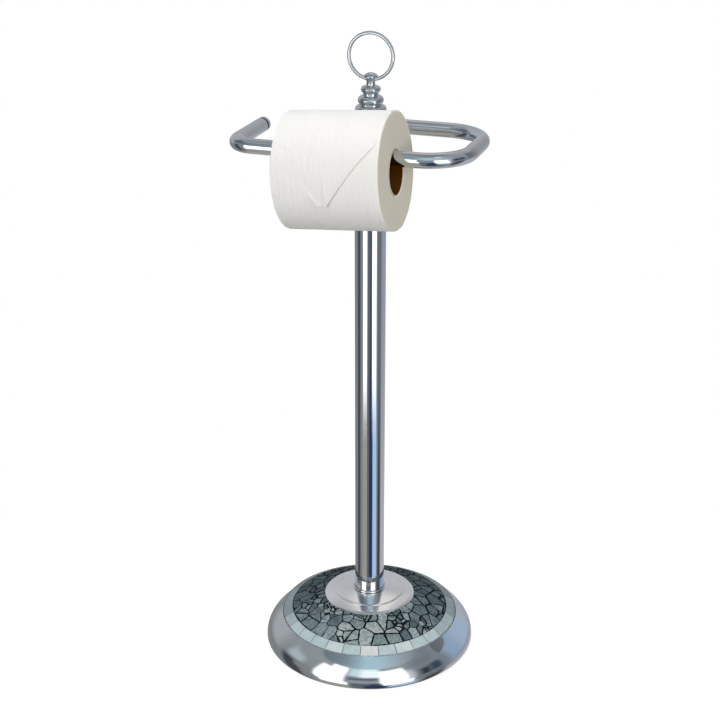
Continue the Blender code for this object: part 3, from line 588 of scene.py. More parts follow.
class HOLDER_OT_base_shell(bpy.types.Operator):
    """Spun shell with its rounded rim and the recess that holds the mosaic"""

    bl_idname = "holder.base_shell"
    bl_label = "Base Shell"

    def execute(self, context):
        sizes = context.scene.base_sizes
        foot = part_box("base_shell")[0].z
        recess = sizes.mosaic_radius + 0.0005
        seat_drop, recess_drop, pressed = 0.0017, 0.0056, 0.0014
        under_seat = PLATE_SEAT - sizes.wall
        land = rim_curve(0.0, 0.0)[1]
        outline = dome_run(BOLT_HOLE, PLATE_SEAT, seat_drop, 6)
        outline += dome_run(PLATE_SEAT + HAIR, recess, recess_drop, 12)
        outline += [(recess, land - HAIR), (recess + HAIR, land)]
        outline += [rim_curve(index / 28, 0.0) for index in range(29)]
        outline += arc(outline[-1], (sizes.rim_radius - 0.0014, foot), True, 8)
        outline.append((sizes.rim_radius - 0.0026, foot + 0.0006))
        outline += [rim_curve(1 - index / 20, sizes.wall) for index in range(15)]
        outline += dome_run(recess, under_seat, recess_drop + pressed, 8)
        outline += dome_run(under_seat - HAIR, BOLT_HOLE, seat_drop + pressed, 6)
        outline.append(outline[0])
        turned(outline, steps=160)
        finish_piece("spun_shell", chrome("spun_chrome", 0.06, 0.11), "base_shell")
        return {"FINISHED"}


class HOLDER_OT_centre_plate(bpy.types.Operator):
    """Satin plate with a raised middle, and the collar round the pole's foot"""

    bl_idname = "holder.centre_plate"
    bl_label = "Centre Plate"

    def execute(self, context):
        sizes = context.scene.base_sizes
        edge, step = sizes.plate_radius, sizes.step_radius
        flat, outer_drop, thick = 0.019, 0.0003, 0.0014
        outline = [(BOLT_HOLE, dome(flat)), (flat, dome(flat))]
        outline += dome_run(flat + 0.0005, step - 0.0004, 0.0, 8)
        # Groove at the step, then the plate's lower outer part and its rounded edge
        groove = ((-0.0002, 0.00005), (-0.0001, 0.0009), (0.0003, 0.0010), (0.0004, 0.0004))
        outline += [(step + out, dome(step) - down) for out, down in groove]
        outline += dome_run(step + 0.0006, edge - 0.0012, outer_drop, 6)
        outline += [(edge - 0.0004, dome(edge) - 0.0007), (edge, dome(edge) - 0.0010)]
        outline += dome_run(edge, BOLT_HOLE, thick, 8)
        outline.append(outline[0])
        turned(outline, steps=160)
        finish_piece("satin_plate", satin_plate(), "centre_plate")

        inner, flat = pole_high.x + PLAY, 0.0003
        low, high = collar_low.z, collar_high.z
        outline = [(inner, high), (inner + flat, high)]
        outline += arc(outline[-1], (collar_high.x, (low + high) / 2), False, 6)
        outline += arc(outline[-1], (inner + flat, low), True, 6)
        outline += [(inner, low), (inner, high)]
        turned(outline, steps=96)
        finish_piece("foot_collar", chrome("collar_chrome"), "pole_collar")
        return {"FINISHED"}


def sides(polygon):
    """Pairs of corners, one for each side of a polygon."""
    return zip(polygon, polygon[1:] + polygon[:1])


def clipped(polygon, point, normal):
    """Part of a flat polygon behind the line through a point."""
    kept = []
    for here, after in sides(polygon):
        side_here = (here - point).dot(normal)
        side_after = (after - point).dot(normal)
        if side_here <= 0:
            kept.append(here)
        if (side_here < 0 < side_after) or (side_after < 0 < side_here):
            kept.append(here.lerp(after, side_here / (side_here - side_after)))
    return kept


def stone_centres(dice, sizes, height):
    """Scattered middles of the stones on the unrolled ring: loose rows, with chips between."""
    centres = []
    loose = 0.42
    for row in range(sizes.rows):
        for column in range(sizes.columns):
            across = (column + row * 0.5 + dice.uniform(-loose, loose)) / sizes.columns
            up = (row + 0.5 + dice.uniform(-loose, loose)) / sizes.rows
            centres.append(Vector((across % 1.0 * FULL_TURN, up * height)))
    shattered = dice.sample(range(len(centres)), sizes.chips // 5)
    for index in range(sizes.chips):
        near = centres[shattered[index % len(shattered)]]
        angle = dice.uniform(0, FULL_TURN)
        reach = dice.uniform(0.15, 0.7) * FULL_TURN / sizes.columns
        spot = near + reach * Vector((math.cos(angle), math.sin(angle)))
        centres.append(Vector((spot.x % FULL_TURN, min(max(spot.y, 0.02), height - 0.02))))
    return centres


def stone_outlines(sizes, inner, outer):
    """Outlines of the broken stones on the ring, with a tone for each that also holds painted
    shade.
    """
    dice = random.Random(sizes.seed)
    height = math.log(outer / inner)
    centres = stone_centres(dice, sizes, height)
    reach = 3.2 * FULL_TURN / sizes.columns
    outlines = []
    for centre in centres:
        low, high = centre.x - reach, centre.x + reach
        cell = [Vector((low, 0)), Vector((high, 0)), Vector((high, height)), Vector((low, height))]
        for other in centres:
            for shift in (-FULL_TURN, 0.0, FULL_TURN):
                moved = other + Vector((shift, 0.0))
                away = moved - centre
                if 0 < away.length < 2 * reach:
                    cell = clipped(cell, (centre + moved) / 2, away)
        ground = [
            inner * math.exp(corner.y) * Vector((math.cos(corner.x), math.sin(corner.x)))
            for corner in cell
        ]
        joint = sizes.joint / 2 * dice.uniform(0.3, 1.3)
        shard = shrunk(ground, joint, dice)
        if shard:
            # Painted shade: the stones are paler in front and darker behind, as the light falls on
            # them, and each also has a tone of its own
            painted_shade_tone = 0.37 + 0.31 * math.cos(centre.x + math.radians(76))
            outlines.append((shard, painted_shade_tone * (0.6 + 0.8 * dice.betavariate(1.3, 1.3))))
    return outlines


def shrunk(polygon, gap, dice):
    """Polygon drawn in by a gap on every side, with its edges slightly ragged, or None."""
    chip_spacing, wear, least_area = 0.0018, 0.22, 0.0000009
    least_cut, least_side = 0.0001, 0.0005
    middle = sum(polygon, Vector((0.0, 0.0))) / len(polygon)
    inside = list(polygon)
    for here, after in sides(polygon):
        run = after - here
        if run.length < least_cut:
            continue
        outward = Vector((run.y, -run.x)).normalized()
        if outward.dot(middle - here) > 0:
            outward.negate()
        inside = clipped(inside, here - outward * gap, outward)
        if len(inside) < 3:
            return None
    ragged = []
    for here, after in sides(inside):
        run = after - here
        if run.length < least_side:
            continue
        ragged.append(here)
        side = Vector((run.y, -run.x)).normalized()
        pieces = int(run.length / chip_spacing)
        for index in range(1, pieces + 1):
            wander = dice.uniform(-0.00030, 0.00042)
            ragged.append(here + run * index / (pieces + 1) + side * wander)
    worn = []
    for here, after in sides(ragged):
        worn += [here.lerp(after, wear), here.lerp(after, 1 - wear)]
    area = sum(a.x * b.y - a.y * b.x for a, b in sides(worn)) / 2
    if len(worn) < 3 or abs(area) < least_area:
        return None
    return worn if area > 0 else worn[::-1]


class HOLDER_OT_mosaic(bpy.types.Operator):
    """Ring of crackled stones set in dark grout"""

    bl_idname = "holder.mosaic"
    bl_label = "Crackle Mosaic"

    def execute(self, context):
        base = context.scene.base_sizes
        thick, bevel, bevel_rise, under_plate = 0.0010, 0.00035, 0.00025, 0.0040
        mortar_drop, mortar_base = 0.0007, 0.0034
        inner = base.plate_radius - under_plate
        outer = base.mosaic_radius - base.border_width + HAIR
        corners, faces, tones_and_shade = [], [], []
        # Each stone's tone carries painted shade, paler in front and darker behind
        for shard, tone in stone_outlines(context.scene.mosaic_sizes, inner, outer):
            faces.append(list(range(len(corners), len(corners) + len(shard))))
            corners += [(point.x, point.y, 0.0) for point in shard]
            tones_and_shade += [tone] * len(shard)
        mesh = bpy.data.meshes.new("crackled_stones")
        mesh.from_pydata(corners, [], faces)
        mesh.attributes.new("stone_tone_and_shade", "FLOAT", "POINT").data.foreach_set("value", tones_and_shade)
        stones = bpy.data.objects.new("crackled_stones", mesh)
        context.collection.objects.link(stones)
        select_only(stones)
        bpy.ops.object.mode_set(mode="EDIT")
        bpy.ops.mesh.select_all(action="SELECT")
        bpy.ops.mesh.extrude_region_move(TRANSFORM_OT_translate={"value": (0, 0, thick)})
        bpy.ops.mesh.inset(thickness=bevel, depth=bevel_rise, use_individual=True)
        bpy.ops.mesh.select_all(action="SELECT")
        bpy.ops.mesh.normals_make_consistent(inside=False)
        bpy.ops.object.mode_set(mode="OBJECT")
        down = base.mosaic_drop + thick + bevel_rise
        for vertex in mesh.vertices:
            vertex.co.z += dome(vertex.co.xy.length) - down
        finish_piece(
            "crackled_stones", crackled_stone(), "crackle_mosaic", smooth=50.0
        )

        outline = dome_run(inner, base.mosaic_radius, base.mosaic_drop + mortar_drop, 12)
        outline += dome_run(base.mosaic_radius, inner, base.mosaic_drop + mortar_base, 8)
        outline.append(outline[0])
        turned(outline)
        finish_piece("grout_bed", mortar(), "mosaic_bed")
        return {"FINISHED"}


# Two colours of each glaze, and the glazes of the 30 tiles in their order, with how many run on;
# the glazes hold the tiles' tints and painted shade, pale in front and a dark run behind
GLAZES_AND_SHADE = {
    "blush": ("#C6CACD", "#D4D6D9"), "pale": ("#B9C5C8", "#C8D1D4"),
    "mist": ("#A8B9BD", "#B8C7CB"), "sage": ("#93A4A8", "#A3B2B4"),
    "slate": ("#75858B", "#86959A"), "moss": ("#5E6A6D", "#6F7A7C"),
}
TILE_RUNS_BY_SHADE = (
    ("sage", 1), ("slate", 2), ("moss", 12), ("slate", 3), ("sage", 1), ("mist", 3), ("pale", 1),
    ("mist", 1), ("blush", 1), ("mist", 1), ("pale", 1), ("mist", 2), ("sage", 1),
)


def dress_solid(name, material):
    """Give a solid that stays as it is its finish."""
    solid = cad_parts[name]
    if solid.material_slots:
        solid.material_slots[0].material = material
    else:
        solid.data.materials.append(material)


class HOLDER_OT_border_tiles(bpy.types.Operator):
    """Glaze on the ring of border tiles, whose solids already have the tiles' shape; the glazes
    hold painted shade
    """

    bl_idname = "holder.border_tiles"
    bl_label = "Border Tiles"

    def execute(self, context):
        shaded_glazes = {name: tile_glaze(f"{name}_glaze", *pair) for name, pair in GLAZES_AND_SHADE.items()}
        order = [name for name, count in TILE_RUNS_BY_SHADE for _ in range(count)]
        for number, name in enumerate(order, start=1):
            dress_solid(f"border_tile_{number:02d}", shaded_glazes[name])
        return {"FINISHED"}


class HOLDER_OT_hidden_parts(bpy.types.Operator):
    """Finishes of the weight, the pad and the fixings, whose solids stay as they are"""

    bl_idname = "holder.hidden_parts"
    bl_label = "Hidden Parts"

    def execute(self, context):
        dress_solid("base_weight", cast_iron())
        dress_solid("base_pad", foam())
        plated = zinc()
        for name in ("base_bolt", "base_washer", "pole_foot_insert", "pole_top_insert",
                     "finial_stud", "arm_root_plug"):
            dress_solid(name, plated)
        return {"FINISHED"}


def cut_by_active(piece):
    """Cut a piece by the active one, which is then deleted."""
    cutter = bpy.context.object
    select_only(piece)
    bpy.ops.object.modifier_add(type="BOOLEAN")
    modifier = piece.modifiers[-1]
    modifier.object = cutter
    modifier.solver = "EXACT"
    bpy.ops.object.modifier_apply(modifier=modifier.name)
    select_only(cutter)
    bpy.ops.object.delete()
    select_only(piece)


class HOLDER_OT_pole(bpy.types.Operator):
    """Straight chromed tube, drilled for the arm on its right and the screw on its left"""

    bl_idname = "holder.pole"
    bl_label = "Pole"

    def execute(self, context):
        radius, wall, rows = pole_high.x, 0.0012, 12
        bore = radius - wall
        low, high = pole_low.z, pole_high.z
        outline = [(bore, high), (radius - HAIR, high)]
        outline += arc(outline[-1], (radius, high - HAIR), False, 3)
        outline += [(radius, high - (high - low) * index / rows) for index in range(1, rows)]
        outline += [(radius, low), (bore, low), (bore, high)]
        pole = turned(outline)
        reach = radius + 0.002
        arm_hole, screw_hole = context.scene.metal_sizes.tube_radius + PLAY, 0.0028
        for hole, centre_x in ((arm_hole, reach / 2), (screw_hole, -reach / 2)):
            place = (centre_x, 0, BAR_HEIGHT)
            upright_disc(bpy.ops.mesh.primitive_cylinder_add, hole, place, vertices=64, depth=reach)
            cut_by_active(pole)
        finish_piece("chrome_pole", chrome("pole_chrome"), "pole_tube")
        return {"FINISHED"}


# The finial's outline from its top: radius and height above its foot, whether the curve that
# leads there is round at its start, and its steps (0 for a straight run)
FINIAL_PROFILE = (
    ((0.0070, 0.0349), False, 12), ((0.0043, 0.0296), False, 8), ((0.0043, 0.0270), False, 0),
    ((0.0047, 0.0266), True, 3), ((0.00975, 0.0234), False, 8), ((0.0076, 0.0196), True, 6),
    ((0.0076, 0.0172), False, 0), ((0.0080, 0.0169), True, 3), ((0.01275, 0.0124), False, 10),
    ((0.0112, 0.0094), True, 6), ((0.0112, 0.0077), False, 0), ((0.0116, 0.0074), True, 3),
    ((0.0156, 0.0033), False, 10), ((0.0150, 0.0), True, 6), ((0.0, 0.0), False, 0),
)


class HOLDER_OT_finial(bpy.types.Operator):
    """Turned finial with three beads, a neck and a knob"""

    bl_idname = "holder.finial"
    bl_label = "Finial"

    def execute(self, context):
        outline = [(0.0, 0.0392)]
        for end, round_at_start, steps in FINIAL_PROFILE:
            outline += arc(outline[-1], end, round_at_start, steps) if steps else [end]
        turned([(radius, finial_foot + up) for radius, up in outline], steps=96)
        finish_piece("turned_finial", chrome("finial_chrome", 0.02, 0.05), "finial", smooth=40.0)
        return {"FINISHED"}


class HOLDER_OT_carry_ring(bpy.types.Operator):
    """Wire ring that stands upright through the knob"""

    bl_idname = "holder.carry_ring"
    bl_label = "Carry Ring"

    def execute(self, context):
        wire = context.scene.metal_sizes.wire_radius
        middle = (ring_low.z + ring_high.z) / 2
        place = (0, 0, ring_low.z + wire)
        upright_disc(bpy.ops.mesh.primitive_circle_add, wire, place, vertices=24)
        bpy.ops.object.mode_set(mode="EDIT")
        bpy.ops.mesh.select_all(action="SELECT")
        bpy.ops.mesh.spin(steps=120, angle=FULL_TURN, center=(0, 0, middle), axis=AXES["Y"])
        close_mesh()
        finish_piece("wire_ring", chrome("ring_chrome", 0.20, 0.26), "carry_ring")
        return {"FINISHED"}


class HOLDER_OT_arm(bpy.types.Operator):
    """Arm bent from one tube: closed loop on the right, open hook on the left"""

    bl_idname = "holder.arm"
    bl_label = "Bent Arm"

    def execute(self, context):
        sizes = context.scene.metal_sizes
        tube, wide, hook = sizes.tube_radius, sizes.wide_bend, sizes.hook_bend
        right = arm_high.x - tube - wide
        left = arm_low.x + tube + hook
        front = -sizes.spacing
        root, wall = 0.0050, 0.0013
        leg_end = cap_low.y + PLUG_LENGTH
        bend = math.pi / 2
        upright_disc(
            bpy.ops.mesh.primitive_circle_add, tube, (root, 0, BAR_HEIGHT), vertices=48,
            fill_type="NGON",
        )
        bpy.ops.object.mode_set(mode="EDIT")
        bpy.ops.mesh.select_all(action="SELECT")
        extend((right - root) / 6, (1, 0, 0), 6)
        turn_end((right, -wide, BAR_HEIGHT), bend, 24)
        extend((front + 2 * wide) / 3, (0, 1, 0), 3)
        turn_end((right, front + wide, BAR_HEIGHT), bend, 24)
        extend((left - right) / 12, (1, 0, 0), 12)
        turn_end((left, front + hook, BAR_HEIGHT), bend, 18)
        extend((leg_end - front - hook) / 4, (0, 1, 0), 4)
        bpy.ops.mesh.inset(thickness=wall)
        extend(HAIR - PLUG_LENGTH, (0, 1, 0), 1)
        close_mesh()
        finish_piece("bent_arm", chrome("arm_chrome"), "arm_tube")
        return {"FINISHED"}


def extend(step, direction, count):
    """Draw the selected end of a tube on by equal steps."""
    move = Vector(direction) * step
    for _ in range(count):
        bpy.ops.mesh.extrude_region_move(TRANSFORM_OT_translate={"value": move})


def turn_end(centre, angle, steps):
    """Turn the selected end of a tube round an upright axis."""
    bpy.ops.mesh.spin(steps=steps, angle=angle, center=centre, axis=AXES["Z"])


class HOLDER_OT_arm_fittings(bpy.types.Operator):
    """Grooved cap in the hook's end, and the screw behind the roll that holds the arm"""

    bl_idname = "holder.arm_fittings"
    bl_label = "Arm Fittings"

    def execute(self, context):
        neck, head, body, plug = 0.0030, 0.0090, 0.0070, 0.0056
        rim, groove, chamfer, crown = 0.0012, 0.0006, 0.0003, 0.0001
        middle = (neck + head) / 2
        outline = [(0.0, head)]
        outline += arc(outline[-1], (body - rim, head - crown), False, 4)
        outline += arc(outline[-1], (body, head - rim), False, 6)
        outline += [(body, middle + groove)]
        outline += arc(outline[-1], (body - groove, middle), True, 5)
        outline += arc(outline[-1], (body, middle - groove), False, 5)
        outline += [(body, neck + chamfer), (body - chamfer, neck), (plug, neck)]
        outline += [(plug, -PLUG_LENGTH), (0.0, -PLUG_LENGTH)]
        place = ((cap_low.x + cap_high.x) / 2, cap_low.y + PLUG_LENGTH, BAR_HEIGHT)
        turned(outline, steps=64, axis="Y", centre=place)
        cap = finish_piece("grooved_cap", chrome("cap_chrome"), "arm_end_cap")
        # Painted shade: the cap's neck and plug are dark, for the shade in the groove
        gap_shade_below = place[1] + neck + HAIR
        second_finish(cap, painted_gap_shade(), lambda face: face.center.y < gap_shade_below)

        head_radius, head_height, shank, socket = 0.0047, 0.0030, 0.0025, 0.0017
        seat = screw_low.x + head_height
        outline = [(0.0, screw_low.x)]
        outline += arc(outline[-1], (head_radius, seat), False, 8)
        outline += [(shank, seat), (shank, screw_high.x), (0.0, screw_high.x)]
        screw = turned(outline, steps=48, axis="X", centre=(0.0, 0.0, BAR_HEIGHT))
        place = (screw_low.x, 0, BAR_HEIGHT)
        upright_disc(
            bpy.ops.mesh.primitive_cylinder_add, socket, place, vertices=6, depth=2 * socket
        )
        cut_by_active(screw)
        finish_piece("socket_screw", chrome("screw_chrome"), "arm_screw")
        return {"FINISHED"}


def second_finish(piece, material, chosen):
    """Give a piece's chosen faces another material."""
    piece.data.materials.append(material)
    for face in piece.data.polygons:
        if chosen(face):
            face.material_index = 1


def lean_piece(piece):
    """Lean the winding: its outer turns hang lower on the left and are level near the right end."""
    bpy.ops.object.transform_apply(location=True, rotation=True, scale=True)
    sizes = bpy.context.scene.roll_sizes
    level_share, most_wound = 0.725, 1.02
    bore = (core_high.z - core_low.z) / 2 + PLAY
    level = level_share * sizes.width / 2
    for vertex in piece.data.vertices:
        corner = vertex.co - ROLL_CENTRE
        wound = max(0.0, corner.yz.length - bore) / (sizes.radius - bore)
        along = corner.x - level
        x = level + along * math.cos(sizes.lean) - corner.z * math.sin(sizes.lean)
        hung = corner.z * math.cos(sizes.lean) + along * math.sin(sizes.lean)
        height = corner.z + (hung - corner.z) * min(wound, most_wound)
        vertex.co = ROLL_CENTRE + Vector((x, corner.y, height))


class HOLDER_OT_paper_roll(bpy.types.Operator):
    """Cardboard core and the wound paper, with its cut ends"""

    bl_idname = "holder.paper_roll"
    bl_label = "Paper Roll"

    def execute(self, context):
        sizes = context.scene.roll_sizes
        half, radius = sizes.width / 2, sizes.radius
        outer = (core_high.z - core_low.z) / 2
        board, cut_slope, flat_slope = 0.0010, 0.4, 0.8
        bore = outer - board
        outline = [(bore, half - HAIR), (bore + HAIR, half), (outer - HAIR, half)]
        outline += [(outer, half - HAIR), (outer, HAIR - half), (outer - HAIR, -half)]
        outline += [(bore + HAIR, -half), (bore, HAIR - half), outline[0]]
        lean_piece(turned(outline, steps=96, axis="X", centre=ROLL_CENTRE))
        core = finish_piece("wound_core", cardboard(), "cardboard_core", "roll")
        second_finish(core, cut_cardboard(), lambda face: abs(face.normal.x) > cut_slope)

        # The innermost turns are glued to the core, and the outer edge is soft
        inner, glued, soft = outer + PLAY, outer + 0.0016, 0.0014
        outline = [(inner, half - 0.0005), (inner + 0.0006, half - 0.0001), (glued, half)]
        outline += [(inner + (radius - inner) * share, half) for share in (0.2, 0.5, 0.8)]
        outline.append((radius - soft, half))
        outline += arc(outline[-1], (radius, half - soft), False, 6)
        outline += [(radius, half * share) for share in (0.6, 0.2, -0.2, -0.6)]
        outline.append((radius, soft - half))
        outline += arc(outline[-1], (radius - soft, -half), True, 6)
        outline += [(inner + (radius - inner) * share, -half) for share in (0.8, 0.5, 0.2)]
        outline += [(inner + 0.0006, 0.0001 - half), (inner, 0.0005 - half), outline[0]]
        lean_piece(turned(outline, steps=160, axis="X", centre=ROLL_CENTRE))
        roll = finish_piece("wound_paper", tissue(), "paper_roll", "roll", 50.0)
        second_finish(roll, tissue_edge(), lambda face: (
            abs(face.normal.x) > flat_slope and (face.center - ROLL_CENTRE).yz.length > glued
        ))
        return {"FINISHED"}


def part_way(value, start, end):
    """How far a value is from start to end, from 0 to 1."""
    return min(1.0, max(0.0, (value - start) / (end - start)))


def bump_at(distance, width):
    """Smooth hump: 1 at no distance, and almost gone at twice its width."""
    return math.exp(-((distance / width) ** 2))


def leaf_sides(angle, sizes):
    """Leaf's two side edges at an angle round the roll: its folds bow in to a blunt tip."""
    tip_x, tip_half, shy, bow = -0.0036, 0.0038, 0.0004, 0.05
    half = sizes.width / 2 - shy
    drawn_in = part_way(angle, sizes.shoulder, sizes.tip)
    bowed = drawn_in + bow * drawn_in * (1 - drawn_in)
    left = -half + (tip_x - tip_half + half) * drawn_in
    right = half + (tip_x + tip_half - half) * bowed
    return left, right


def leaf_lift(x, angle, left, right, sizes):
    """How far the leaf stands off the roll: along its folds, at its tip and on its crease."""
    crease_x, crease_angle = 0.0002, math.radians(96.0)
    folded = part_way(angle, sizes.shoulder, sizes.shoulder + math.radians(12.0))
    right_fold = bump_at(right - x, 0.0019)
    left_fold = bump_at(x - left, 0.0030)
    tucked = bump_at(x - left, 0.0080)
    near_tip = bump_at(sizes.tip - angle, math.radians(10.0))
    crease = bump_at(x - crease_x, 0.0010) * bump_at(angle - crease_angle, 0.17)
    free = bump_at(sizes.tip - angle, math.radians(16.0))
    folds = 0.0010 * right_fold + 0.0010 * free * left_fold - 0.0006 * tucked * (1 - free)
    return folded * folds + 0.0004 * near_tip + 0.0008 * crease


class HOLDER_OT_loose_leaf(bpy.types.Operator):
    """Last leaf of paper over the top of the roll, folded to a point in front"""

    bl_idname = "holder.loose_leaf"
    bl_label = "Loose Leaf"

    def execute(self, context):
        sizes = context.scene.roll_sizes
        start, clear, thick = math.radians(-175.0), 0.0001, 0.0005
        deselect_all()
        bpy.ops.mesh.primitive_grid_add(x_subdivisions=70, y_subdivisions=190, size=1.0)
        leaf = context.object
        for vertex in leaf.data.vertices:
            across, along = vertex.co.x + 0.5, vertex.co.y + 0.5
            angle = start + (sizes.tip - start) * along
            left, right = leaf_sides(angle, sizes)
            x = left + (right - left) * across
            reach = sizes.radius + clear + leaf_lift(x, angle, left, right, sizes)
            vertex.co = ROLL_CENTRE + Vector((x, -reach * math.sin(angle), reach * math.cos(angle)))
        lean_piece(leaf)
        bpy.ops.object.modifier_add(type="SOLIDIFY")
        modifier = leaf.modifiers[-1]
        modifier.thickness = thick
        modifier.offset = 0.0
        bpy.ops.object.modifier_apply(modifier=modifier.name)
        finish_piece("folded_leaf", tissue(), "loose_leaf", "roll", 60.0)
        # Its area is less than its width times its length, because it narrows to a point
        return {"FINISHED"}


# Studio


def soft_band(tree, value, low, high, soft):
    """Mask that is 1 between low and high, with soft edges."""
    rise, fall = [
        node(
            tree, SPREAD,
            {
                "Value": value, "From Min": edge - soft, "From Max": edge + soft,
                "To Min": before, "To Max": 1.0 - before,
            },
            interpolation_type="SMOOTHSTEP",
        )
        for edge, before in ((low, 0.0), (high, 1.0))
    ]
    return node(tree, MATHS, {0: rise, 1: fall}, operation="MULTIPLY")


# Flats and softboxes round the studio, painted in this order: what the chrome shows of each, its
# strength, its span in degrees round the holder (0 is the front, +90 the right), its span in
# degrees above the floor, and the softness of its edges
STUDIO_PANELS = (
    ("#979A9D", 1.0, (-196, -150), (-60, 34), 12),
    ("#9A9EA2", 1.0, (150, 196), (-60, 25), 12),
    ("#BAB8B6", 1.0, (-196, -148), (40, 66), 8),
    ("#9EA0A3", 1.0, (152, 196), (28, 66), 8),
    ("#9C9FA3", 1.0, (-150, -96), (-2, 44), 9),
    ("#777A7C", 1.0, (-146, -84), (-50, -8), 8),
    ("#3A3D45", 1.0, (-86, -66), (-50, 7), 6),
    ("#A3ADB0", 1.0, (-82, -60), (14, 32), 5),
    ("#7A7D7C", 1.0, (-66, -46), (-45, 12), 5),
    ("#93918A", 1.0, (-46, -4), (-70, -18), 5),
    ("#5E6163", 1.0, (-4, 76), (-76, -42), 8),
    ("#868B90", 1.0, (-6, 28), (-24, 24), 4),
    ("#BFD5DA", 1.0, (-6, 10), (26, 50), 5),
    ("#ECF8F9", 1.0, (7, 30), (22, 50), 5),
    ("#566070", 1.0, (-6, 27), (7, 18), 4),
    ("#8B9095", 1.0, (-6, 24), (-20, 5), 4),
    ("#2B3556", 1.0, (4, 28), (-43, -25), 4),
    ("#A0BFDE", 1.0, (40, 70), (-43, -20), 5),
    ("#B4BAC2", 1.0, (55, 67), (-18, 34), 4),
    ("#FFFFFF", 1.3, (-42, -9), (-16, 42), 3),
    ("#FFFFFF", 1.2, (-30, -9), (38, 49), 2.5),
    ("#FFFFFF", 1.3, (29, 59), (-20, 43), 3),
    ("#2E3238", 1.0, (73, 86), (-6, 24), 6),
    ("#384352", 1.0, (86, 101), (-6, 26), 5),
    ("#6C737C", 1.0, (68, 107), (28, 50), 12),
    ("#72767B", 1.0, (70, 104), (-24, -9), 5),
    ("#55484C", 1.0, (78, 100), (-46, -28), 5),
    ("#717A84", 1.0, (102, 112), (-12, 30), 5),
    ("#879CB4", 1.0, (113, 138), (-10, 36), 7),
    ("#98A8B8", 1.0, (132, 162), (-12, 32), 8),
    ("#7D8085", 1.0, (104, 165), (-50, -16), 8),
    ("#E1E5E9", 1.1, (38, 60), (56, 63), 3),
    ("#E4E4E0", 1.2, (-168, -148), (-33, -22), 4),
    ("#41464A", 1.0, (-82, -60), (-60, -9), 5),
    ("#7B7D7F", 1.0, (-54, -40), (-60, -9), 4),
    ("#5C6066", 1.0, (-3, 18), (-60, -10), 4),
    ("#3C424A", 1.0, (17, 32), (-60, -10), 4),
    ("#28325A", 1.0, (12, 38), (-60, -23), 3),
    ("#62686F", 1.0, (78, 104), (-25, -10), 5),
    ("#463D40", 1.0, (82, 106), (-60, -24), 4),
    ("#8C929C", 1.0, (116, 180), (-24, -10), 6),
    ("#A3A6AA", 1.0, (110, 180), (-60, -24), 6),
    ("#FFFFFF", 1.3, (-36, -5), (-24, -9), 1.5),
    ("#FFFFFF", 1.3, (33, 65), (-24, -9), 1.5),
)
# Colours of the studio cards, by degrees round the holder
FRONT_CARD = (
    (-96, "#68747E"), (-76, "#565D63"), (-45, "#666F76"), (-15, "#78868F"),
    (14, "#9FBCC8"), (36, "#A0BAC2"), (60, "#949FA7"), (84, "#7A828A"), (100, "#8896A6"),
)
BACK_CARD = ((104, "#5E6369"), (120, "#6C6F74"), (135, "#818285"), (165, "#8F9091"))
# Name, heights, span in degrees and colours of each card
STUDIO_CARDS = (
    ("front_left_card", (0.77, 1.39), (-95, 10), FRONT_CARD),
    ("front_right_card", (0.77, 1.39), (10, 100), FRONT_CARD),
    ("back_right_card", (0.41, 1.10), (102, 170), BACK_CARD),
)
FLOOR_RADIUS = 9.0
CARD_RADIUS = 0.75
CHROME_SHARE = 0.62  # chrome's reflectance, which the flats and cards make up for


def turn_from_front(tree, parts):
    """Two nodes: how far forward a direction points, and its angle round the holder in degrees."""
    front = node(tree, MATHS, {0: parts.outputs["Y"], 1: -1.0}, operation="MULTIPLY")
    turn = node(tree, MATHS, {0: parts.outputs["X"], 1: front}, operation="ARCTAN2")
    return front, node(tree, MATHS, {0: turn}, operation="DEGREES")


def studio_card(name, up, across, stops):
    """Curved card round the studio, seen only in chrome; stops are degrees round and colours."""
    deselect_all()
    low, high = up
    bpy.ops.mesh.primitive_cylinder_add(
        vertices=120, radius=CARD_RADIUS, depth=high - low, end_fill_type="NOTHING",
        location=(0, 0, (low + high) / 2),
    )
    card = bpy.context.object
    card.name = name
    bpy.ops.object.transform_apply(location=True, rotation=True, scale=True)
    for turn, side in ((across[0], -1), (across[1], 1)):
        edge = math.radians(turn)
        bpy.ops.object.mode_set(mode="EDIT")
        bpy.ops.mesh.select_all(action="SELECT")
        bpy.ops.mesh.bisect(
            plane_co=(0, 0, 0), plane_no=(side * math.cos(edge), side * math.sin(edge), 0),
            clear_outer=True,
        )
        bpy.ops.object.mode_set(mode="OBJECT")
    material, tree, place = new_material(name + "_paint")
    parts = node(tree, "ShaderNodeSeparateXYZ", {"Vector": place})
    azimuth = turn_from_front(tree, parts)[1]
    share = node(tree, SPREAD, {"Value": azimuth, "From Min": -180.0, "From Max": 180.0})
    colour = node(tree, RAMP, {"Fac": share}, [(turn / 360 + 0.5, hue) for turn, hue in stops])
    paint = {"Color": colour, "Strength": 1 / CHROME_SHARE}
    card.data.materials.append(closed(material, tree, "ShaderNodeEmission", paint))
    for ray in ("camera", "diffuse", "shadow", "transmission"):
        setattr(card, "visible_" + ray, False)


